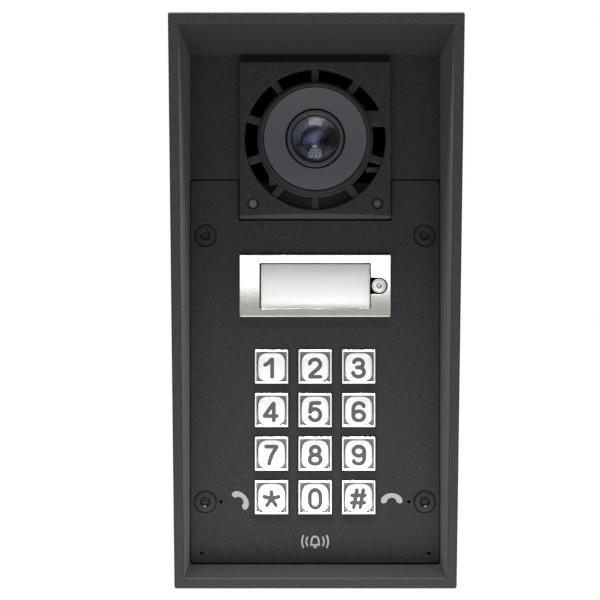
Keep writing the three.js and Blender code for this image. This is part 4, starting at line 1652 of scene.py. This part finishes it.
@dataclass
class Keypad:
    """Twelve plated caps with a bright rim, corners in painted shade and a raised pillow that holds the sign.
    """

    cap: float = 13.4
    rim: float = 0.85
    corner: float = 0.35
    edge: float = 0.18
    shoulder: float = 0.28  # how far the rim lies under the pillow's top
    valley: float = 0.65  # how far the floor round the pillow lies under the rim
    pillow: float = 5.78
    squareness: float = 3.1
    dome: float = 0.14
    stroke: float = 1.56
    stroke_rise: float = 0.05
    sign_drop: float = 0.6
    around: int = 80

    def rounded_square(self, share: float) -> list[Point]:
        """Draws the pillow's outline, a superellipse.

        Args:
            share: Its size, as a share of the pillow's.

        Returns:
            The outline about the key's middle.
        """
        made, power = [], self.squareness
        for i in range(self.around):
            turn = 2 * math.pi * i / self.around
            c, s = math.cos(turn), math.sin(turn)
            reach = share * self.pillow / (abs(c) ** power + abs(s) ** power) ** (1 / power)
            made.append((reach * c, reach * s))
        return made

    def top(self, x: float, z: float, front: float) -> float:
        """Depth of the pillow's domed face at a place on the cap."""
        share = (abs(x) ** 3 + abs(z) ** 3) ** (2 / 3) / self.pillow**2
        return front - self.dome * min(share, 1.3)

    def build_cap(self, node: str) -> None:
        """Makes one key: plated rim and pillow, a floor between them darkened as painted shade, black skirt
        and flange.

        Args:
            node: The CAD node that it stands for.
        """
        size = Extent.of(node)
        centre, front = size.centre, size.front
        rim = front - self.shoulder
        floor = rim - self.valley
        inner = self.cap - 2 * self.rim
        square = soften(rectangle(centre, self.cap, self.cap), self.corner)
        opening = soften(rectangle(centre, inner, inner), self.corner)
        made = Surface().plate(square, [opening], (floor - 0.6, rim), self.edge)

        def level(share: float, depth: float) -> list[int]:
            """One ring of the pillow at a depth."""
            return made.level(moved(self.rounded_square(share), centre, 0), depth)

        rings = [level(1, floor - 0.3), level(1, front - 0.55)]
        for share, drop in ((0.995, 0.26), (0.98, 0.1), (0.95, 0.02)):
            rings.append(level(share, front - self.dome - drop))
        for share in (0.9, 0.75, 0.55, 0.35, 0.15):
            outline = self.rounded_square(share)
            rings.append(
                made.ring((centre[0] + x, self.top(x, z, front), centre[1] + z) for x, z in outline)
            )
        rings.append(made.ring([(centre[0], front, centre[1])]))
        made.chain(rings)
        made.cap(rings[0])
        place(made.piece(f"cap_{node}", Finishes.CHROME), node, "polished_key", node)
        # The floor round the pillow: darker grey chrome, a painted shade of the recess.
        plate = soften(rectangle(centre, inner + 0.4, inner + 0.4), self.corner)
        ground = Surface().plate(plate, [], (floor - 0.5, floor), 0.05)
        place(ground.piece(f"valley_{node}", Finishes.RECESS), node, "polished_key", node)
        flange = soften(rectangle(centre, size.width, size.height), self.corner)
        skirt = Surface().plate(flange, [], (size.back, size.back + 1.2), 0.1)
        skirt.plate(inset(square, 0.05), [], (size.back + 1.1, floor - 0.55), 0.05)
        place(skirt.piece(f"skirt_{node}", Finishes.BLACK_PLASTIC), node, "black_plastic", node)
        self.build_sign(node, centre, front)

    def build_sign(self, node: str, centre: Point, front: float) -> None:
        """Makes the enamel-filled sign on a key.

        Args:
            node: The key's CAD node.
            centre: The key's middle.
            front: The depth of its highest point.
        """
        made = Surface()
        x0, z0 = centre
        glyph = Glyph(node.removeprefix("key_"))
        for line, closed in glyph.strokes():
            path = moved(dense(line, closed), (x0, z0 - self.sign_drop), 0)
            made.stroke(
                path, self.stroke, lambda x, z: self.top(x - x0, z - z0, front), self.stroke_rise, closed
            )
        place(made.piece(f"sign_{node}", Finishes.ENAMEL), node, "black_plastic")


def dense(line: Sequence[Point], closed: bool, step: float = 0.35) -> list[Point]:
    """Adds points along a line's straight parts, so that it follows a curved face.

    Args:
        line: The corners.
        closed: Whether it joins its own start.
        step: The longest piece that is left.

    Returns:
        The line with more points.
    """
    ends = [*line, line[0]] if closed else list(line)
    made: list[Point] = []
    for (x1, z1), (x2, z2) in zip(ends, ends[1:]):
        pieces = max(1, math.ceil(math.hypot(x2 - x1, z2 - z1) / step))
        made += [(x1 + (x2 - x1) * i / pieces, z1 + (z2 - z1) * i / pieces) for i in range(pieces)]
    return made if closed else [*made, tuple(ends[-1])]


# ---------------------------------------------------------------- call button


@dataclass
class CallButton:
    """The brushed frame, its clear window with a tab, the card and the screw that holds them."""

    body: str = "call_button"
    window: Point = (44.0, 18.1)
    pocket: float = 3.3
    edge: float = 0.12
    cover_shift: float = 0.14  # the cover lies low and to the right, so the black strip of painted shadow shows on the other sides
    cover_depths: Point = (45.0, 45.9)
    card_back: float = 44.6
    gap_shadow_front: float = 45.96
    gap_shadow_hole: float = 2.85
    washer_radii: Point = (1.35, 2.8)
    washer_depths: Point = (45.6, 46.05)
    frame: Extent = field(default_factory=lambda: Extent.of("call_button_frame"))
    screw: Extent = field(default_factory=lambda: Extent.of("name_window_screw"))

    def opening(self, shrink: float) -> list[Point]:
        """Draws the window with the round pocket for the screw beside it.

        Args:
            shrink: How much smaller it is all round.

        Returns:
            The outline.
        """
        x0, z0 = self.frame.centre
        half_w, half_h = self.window[0] / 2 - shrink, self.window[1] / 2 - shrink
        radius = self.pocket - shrink
        corners = [(x0 - half_w, z0 - half_h), (x0 + half_w, z0 - half_h)]
        bulge = arc((self.screw.centre[0], z0), (radius, radius), -90, 90, 20)
        rest = [(x0 + half_w, z0 + radius), (x0 + half_w, z0 + half_h), (x0 - half_w, z0 + half_h)]
        points = [*corners, (x0 + half_w, z0 - radius), *bulge, *rest]
        radii = [0.5, 0.5, 0.15, *[0.0] * len(bulge), 0.15, 0.5, 0.5]
        return soften(points, radii)

    def build(self) -> None:
        """Makes the button's pieces."""
        frame = self.frame
        outer = soften(rectangle(frame.centre, frame.width, frame.height), 0.45)
        made = Surface().plate(outer, [self.opening(0)], (frame.back, frame.front), edge=self.edge)
        place(made.piece("button_frame", Finishes.STAINLESS), self.body, "stainless_frame",
              "call_button_frame")
        shift = (self.cover_shift, -self.cover_shift)
        window = Surface().plate(moved(self.opening(0.36), shift, 0), [], self.cover_depths, edge=0.1)
        cover = place(window.piece("card_cover", Finishes.CLEAR), self.body, "clear_plastic", "name_window")
        cover.visible_shadow = False
        card = Extent.of("name_card")
        blank = rectangle(card.centre, card.width, card.height)
        sheet = Surface().plate(blank, [], (self.card_back, card.front), 0.02)
        place(sheet.piece("blank_card", Finishes.CARD), self.body, "card", "name_card")
        # A shineless black strip in the gap round the cover: a painted shadow for the dark gap at the
        # window's edge.
        middle = (self.frame.centre[0] + shift[0], self.frame.centre[1] + shift[1])
        pane = rectangle(middle, self.window[0] - 0.7, self.window[1] - 0.7)
        holes = [soften(pane, 0.3), circle(self.screw.centre, self.gap_shadow_hole)]
        gap_shadow = Surface().plate(self.opening(-0.1), holes, (card.front + 0.03, self.gap_shadow_front), 0.03)
        place(gap_shadow.piece("cover_gap_shadow", Finishes.FELT_AND_PAINTED_SHADOW), self.body, "black_rubber")
        (inner, outer), (back, front) = self.washer_radii, self.washer_depths
        ring = [(inner, back), (outer, back), (outer, front), (inner, front)]
        washer = Surface().turned(ring, 48, self.screw.centre, ring=True)
        place(washer.piece("cover_washer", Finishes.ZINC), self.body, "zinc_steel")
        self.build_screw()

    def build_screw(self) -> None:
        """Makes the pan-head screw beside the window."""
        front, centre = self.screw.front, self.screw.centre
        profile = [(0, self.screw.back), (1.25, self.screw.back), (1.25, 46.0), (2.45, 46.0), (2.55, 46.15),
                   (2.55, front - 0.35), (2.4, front - 0.15), (1.4, front - 0.04), (0, front)]
        head = Surface().turned(profile, 48, centre).piece("cover_screw", Finishes.ZINC)
        recess = moved(lobes(1.1), centre, 0)
        tool = Surface().plate(recess, [], (front - 1.2, front + 1), 0.05).piece("recess", Finishes.ZINC)
        point = [(0, front - 1.9), (1.05, front - 1.1), (0, front - 1.1)]
        drilled = Surface().turned(point, 32, centre).piece("drilled", Finishes.ZINC)
        lead = [(0, front - 0.3), (0.95, front - 0.3), (1.35, front + 0.1), (0, front + 0.1)]
        chamfer = Surface().turned(lead, 48, centre).piece("chamfer", Finishes.ZINC)
        head = carved(head, [tool, drilled, chamfer], Finishes.ZINC)
        place(head, self.body, "zinc_steel", "name_window_screw")


# ---------------------------------------------------------------- fixings, camera and sensors


@dataclass
class PanelScrews:
    """Four countersunk security screws at the corners of an upright rectangle."""

    nodes: Sequence[str] = (
        "panel_screw_upper_left", "panel_screw_upper_right", "panel_screw_lower_left",
        "panel_screw_lower_right",
    )
    head: float = 4.1
    recess: float = 1.75
    recess_depth: float = 1.5
    pin: float = 0.5

    def places(self) -> list[Point]:
        """Where the screws are."""
        return [Extent.of(node).centre for node in self.nodes]

    def build(self) -> None:
        """Makes one screw at the origin and repeats it."""
        size = Extent.of(self.nodes[0])
        front = size.front
        profile = [(0, size.back), (1.6, size.back), (1.6, front - 2.1), (self.head - 0.25, front - 0.35),
                   (self.head, front - 0.2), (self.head - 0.12, front - 0.05), (self.head - 0.35, front),
                   (0, front)]
        screw = Surface().turned(profile, 64).piece("panel_screws", Finishes.BLACK_STEEL)
        tool = Surface().plate(lobes(self.recess), [], (front - self.recess_depth, front + 1), 0.05)
        lead = [(0, front - 0.5), (1.5, front - 0.5), (2.2, front + 0.1), (0, front + 0.1)]
        chamfer = Surface().turned(lead, 48).piece("chamfer", Finishes.BLACK_STEEL)
        screw = carved(screw, [tool.piece("recess", Finishes.BLACK_STEEL), chamfer], Finishes.BLACK_STEEL)
        post = [(0, front - 2), (self.pin, front - 2), (self.pin, front - 0.35), (0, front - 0.3)]
        pin = Surface().turned(post, 16).piece("pin", Finishes.BLACK_STEEL)
        screw = carved(screw, [pin], Finishes.BLACK_STEEL, "UNION")
        spots = self.places()
        across = max(x for x, _ in spots) - min(x for x, _ in spots)
        high, low = max(z for _, z in spots), min(z for _, z in spots)
        sizes = {"Width": across * MM, "Rise": (high - low) * MM, "Height": (high + low) / 2 * MM}
        made = corner_tree(Finishes.BLACK_STEEL).apply(screw, Finishes.BLACK_STEEL, **sizes)
        place(made, STATION, "black_steel", *self.nodes)


@dataclass
class CameraEye:
    """The smoked window, the ring that holds the glass dome, and the lens behind it."""

    dome_radius: float = 8.85
    window: Extent = field(default_factory=lambda: Extent.of("camera_window"))
    ring: Extent = field(default_factory=lambda: Extent.of("lens_retaining_ring"))
    dome: Extent = field(default_factory=lambda: Extent.of("lens_dome"))

    @property
    def centre(self) -> Point:
        """The camera's axis."""
        return self.window.centre

    def cap(self, radius: float, base: float, top: float, steps: int = 14) -> list[Point]:
        """Draws a shallow cap's profile, from its edge to the axis.

        Args:
            radius: The cap's radius.
            base: The depth of its edge.
            top: The depth of its middle.
            steps: How many straight pieces it has.

        Returns:
            The profile as (radius, depth).
        """
        made = []
        for i in range(steps + 1):
            r = radius * (1 - i / steps)
            made.append((r, base + (top - base) * (1 - (r / radius) ** 2)))
        return made

    def build(self) -> None:
        """Makes the camera's visible pieces."""
        window, ring, dome, sides = self.window, self.ring, self.dome, 128
        flat = [(11.75, window.back), (20.15, window.back), (20.15, window.front), (11.75, window.front)]
        made = Surface().turned(soften(flat, 0.15, 3), sides, self.centre, ring=True)
        place(made.piece("eye_window", Finishes.WINDOW), STATION, "grey_window", "camera_window")
        section = [(8.95, ring.back), (11.3, ring.back), (11.3, ring.front - 0.5), (10.9, ring.front),
                   (9.7, ring.front), (9.3, ring.front - 0.5), (8.95, ring.front - 1.0)]
        made = Surface().turned(soften(section, 0.15, 3), sides, self.centre, ring=True)
        place(made.piece("eye_ring", Finishes.RING_PLASTIC), STATION, "black_plastic", "lens_retaining_ring")
        outer = self.cap(self.dome_radius, dome.back + 0.6, dome.front)
        inner = self.cap(self.dome_radius - 1.0, dome.back, dome.front - 1.2)
        made = Surface().turned([*reversed(inner), (self.dome_radius, dome.back), *outer], 96, self.centre)
        glass = place(made.piece("eye_dome", Finishes.DOME), STATION, "optical_glass", "lens_dome")
        glass.visible_shadow = False
        lens = Extent.of("inner_lens")
        foot = [(0, lens.back), (4.9, lens.back), (4.9, lens.back + 0.9)]
        made = Surface().turned([*foot, *self.cap(4.6, lens.back + 1.0, lens.front)], 96, self.centre)
        place(made.piece("eye_lens", Finishes.LENS), STATION, "optical_glass", "inner_lens")
        self.build_barrel()

    def build_barrel(self) -> None:
        """Makes the stepped black barrel round the inner lens."""
        size = Extent.of("lens_barrel")
        profile = [(4.0, size.back), (6.9, size.back), (6.9, 44.0), (8.7, 44.0), (8.7, size.front),
                   (8.5, size.front), (7.6, size.front - 0.5), (5.6, size.front - 1.3),
                   (5.2, size.front - 1.9), (5.1, 41.0), (4.0, 41.0)]
        made = Surface().turned(soften(profile, 0.1, 2), 96, self.centre, ring=True)
        place(made.piece("eye_barrel", Finishes.BARREL), STATION, "black_plastic", "lens_barrel")


@dataclass
class Sensors:
    """The daylight sensor and the infrared lamp under the camera."""

    nodes: Sequence[str] = ("light_sensor", "infrared_lamp")

    def places(self) -> list[Point]:
        """Where the two are."""
        return [Extent.of(node).centre for node in self.nodes]

    def build(self) -> None:
        """Makes both black bodies with their lenses, and the crystal in the lamp."""
        looks = ((Finishes.DIFFUSER, "white_plastic", 1.5), (Finishes.INFRARED, "infrared_lens", 1.7))
        for node, (finish, slot, radius) in zip(self.nodes, looks):
            size = Extent.of(node)
            face = size.front - 0.5
            body = [(0, size.back), (2.5, size.back), (2.5, 46.8), (1.9, 46.8), (1.9, face - 0.2),
                    (1.75, face - 0.05), (radius, face), (radius - 0.1, face - 0.4), (0, face - 0.4)]
            made = Surface().turned(body, 40, size.centre)
            place(made.piece(f"body_{node}", Finishes.BLACK_PLASTIC), STATION, "black_plastic", node)
            side = radius - 0.05
            lens = [(0, face - 0.5), (side, face - 0.5), (side, face), (radius * 0.7, face + 0.05),
                    (0, face + 0.08)]
            made = Surface().turned(lens, 40, size.centre)
            place(made.piece(f"lens_{node}", finish), STATION, slot)
        lamp = Extent.of(self.nodes[1])
        front = lamp.front
        bead = [(0, front - 0.6), (0.45, front - 0.6), (0.4, front - 0.38), (0, front - 0.35)]
        made = Surface().turned(bead, 20, lamp.centre)
        place(made.piece("lamp_bead", Finishes.BEAD), STATION, "infrared_lens")


def dress_frame(record: dict, nodes: dict[str, bpy.types.Object]) -> None:
    """Gives every CAD node the finish of its material slot, for those that stay in sight.

    Args:
        record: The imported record.
        nodes: The CAD nodes' objects by name.
    """
    # The sound mesh behind the slots gets the shineless black that is partly its own felt, partly a painted
    # shadow of the slots.
    special = {"sound_mesh": Finishes.FELT_AND_PAINTED_SHADOW, "camera_cup": Finishes.BLACK_PLASTIC}
    for row in record["subparts"]:
        piece = nodes[row["node"]]
        finish = special.get(row["node"], SLOT_FINISH[row["material_slot"]])
        piece.data.materials.clear()
        piece.data.materials.append(finish.material())


# ---------------------------------------------------------------- studio


@dataclass(frozen=True)
class Softbox:
    """A round soft light: where it hangs in metres, its power in watts and its size in metres."""

    name: str
    place: Place
    power: float
    size: float


@dataclass
class Studio:
    """A white room with a pale floor, soft light and the camera at a visitor's eye.

    Straight ahead of the station the room has lighter and darker bands, from its floor to its
    ceiling, which the steel frame, the plated keys and the smoked window mirror.
    """

    camera_place: Place = (-0.006, -0.523, 0.0029)  # metres
    lens_mm: float = 72.1
    floor_drop: float = 0.45  # metres below the station
    floor_reach: float = 1.6  # metres
    bands: Sequence[tuple[float, str]] = (  # straight ahead, from straight down to straight up
        (0.0, "#484848"), (0.37, "#585858"), (0.4, "#d8d8d8"), (0.47, "#dcdcdc"), (0.482, "#7e7e7a"),
        (0.5025, "#7e7e7a"), (0.5055, "#ffffff"), (0.53, "#f4f4f4"), (0.555, "#8c8c8c"),
        (0.59, "#e6e6e6"), (0.635, "#4c4c4c"), (1.0, "#686868"),
    )
    walls: Sequence[tuple[float, str]] = ((0.0, "#404040"), (0.6, "#404040"), (1.0, "#686868"))
    ahead: Point = (0.2, 0.35)  # how far aside the bands begin and finish turning into the walls
    room_light: float = 2.0
    softboxes: Sequence[Softbox] = (
        Softbox("top_softbox", (0.0, -0.25, 1.05), 60.0, 0.5),
        Softbox("left_softbox", (-0.95, -0.2, -0.1), 0.4, 0.6),
        Softbox("right_softbox", (0.95, -0.2, -0.1), 0.5, 0.6),
        Softbox("low_softbox", (0.0, -0.55, -0.42), 3.0, 0.5),
    )

    def world(self) -> None:
        """White to look at; as light, dimmer straight ahead, where a visitor stands."""
        world = bpy.data.worlds.new("white_room")
        bpy.context.scene.world = world
        world.use_nodes = True
        tree = world.node_tree
        tree.nodes.clear()
        where = add_node(tree, "ShaderNodeTexCoord")
        parts = add_node(tree, "ShaderNodeSeparateXYZ", {"Vector": where.outputs["Generated"]})
        height = add_node(
            tree, "ShaderNodeMapRange", {"Value": parts.outputs["Z"], "From Min": -1.0, "From Max": 1.0}
        ).outputs["Result"]
        bands, walls = ramp(tree, height, self.bands), ramp(tree, height, self.walls)
        across = add_node(tree, "ShaderNodeMath", {0: parts.outputs["X"]}, operation="ABSOLUTE")
        aside = add_node(
            tree, "ShaderNodeMapRange",
            {"Value": across.outputs["Value"], "From Min": self.ahead[0], "From Max": self.ahead[1]},
        )
        tones = add_node(
            tree, "ShaderNodeMix", {0: aside.outputs["Result"], 6: bands, 7: walls}, data_type="RGBA"
        )
        lit = add_node(
            tree, "ShaderNodeBackground", {"Color": tones.outputs[2], "Strength": self.room_light}
        )
        seen = add_node(tree, "ShaderNodeBackground", {"Color": (1, 1, 1, 1), "Strength": 1.0})
        path = add_node(tree, "ShaderNodeLightPath")
        mixed = add_node(
            tree, "ShaderNodeMixShader",
            {0: path.outputs["Is Camera Ray"], 1: lit.outputs["Background"], 2: seen.outputs["Background"]},
        )
        add_node(tree, "ShaderNodeOutputWorld", {"Surface": mixed.outputs["Shader"]})

    def floor(self, lowest: float) -> None:
        """Lays a plain pale floor well under the station, which hangs on a wall.

        Args:
            lowest: The station's lowest height in metres.
        """
        mesh = bpy.data.meshes.new("floor")
        level = lowest - self.floor_drop
        corners = rectangle((0, 0), 2 * self.floor_reach, 2 * self.floor_reach)
        mesh.from_pydata([(x, y, level) for x, y in corners], [], [(0, 1, 2, 3)])
        # Matt paint that glows a little, so that the floor stays pale under the soft light.
        paint = bpy.data.materials.new("pale_floor")
        paint.use_nodes = True
        shader = paint.node_tree.nodes["Principled BSDF"]
        shader.inputs["Base Color"].default_value = linear("#898989")
        shader.inputs["Roughness"].default_value = 0.9
        shader.inputs["Emission Color"].default_value = (1, 1, 1, 1)
        shader.inputs["Emission Strength"].default_value = 0.9
        mesh.materials.append(paint)
        floor = bpy.data.objects.new("floor", mesh)
        bpy.context.scene.collection.objects.link(floor)
        floor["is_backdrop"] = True

    def build(self, low: Vector, high: Vector) -> None:
        """Builds the room and puts the camera in it.

        Args:
            low: The low corner of the station's box in metres.
            high: Its high corner.
        """
        self.world()
        self.floor(low.z)
        middle = (low + high) / 2
        for box in self.softboxes:
            data = bpy.data.lights.new(box.name, "AREA")
            data.shape, data.size, data.energy = "DISK", box.size, box.power
            lamp = bpy.data.objects.new(box.name, data)
            lamp.location = box.place
            lamp.visible_camera = False
            lamp.rotation_euler = (middle - Vector(box.place)).to_track_quat("-Z", "Y").to_euler()
            bpy.context.scene.collection.objects.link(lamp)
        data = bpy.data.cameras.new("visitor")
        data.sensor_width, data.lens = 36.0, self.lens_mm
        camera = bpy.data.objects.new("visitor", data)
        camera.location = self.camera_place
        camera.rotation_euler = (math.pi / 2, 0, 0)
        bpy.context.scene.collection.objects.link(camera)
        bpy.context.scene.camera = camera
        bpy.context.scene.view_settings.view_transform = "Standard"


def main() -> None:
    """Builds the station on its frame, piece by piece, and the room round it."""
    logging.basicConfig(level=logging.INFO, format="%(name)s: %(message)s")
    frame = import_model()
    cad_low, cad_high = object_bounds()
    Studio().build(cad_low, cad_high)
    dress_frame(frame["record"], frame["nodes"])

    eye, sensors, screws, keypad, button = CameraEye(), Sensors(), PanelScrews(), Keypad(), CallButton()
    Housing().build(CameraBlock(), eye.centre, sensors.places())
    key_nodes = [node for node in frame["nodes"] if node.startswith("key_")]
    caps = []
    for node in key_nodes:
        (x, z), half = Extent.of(node).centre, keypad.cap / 2
        caps.append(Extent(x - half, x + half, 0, 0, z - half, z + half))
    FrontPanel().build(caps, button.frame, screws.places())
    for node in key_nodes:
        keypad.build_cap(node)
    button.build()
    screws.build()
    eye.build()
    sensors.build()


if __name__ == "__main__":
    main()
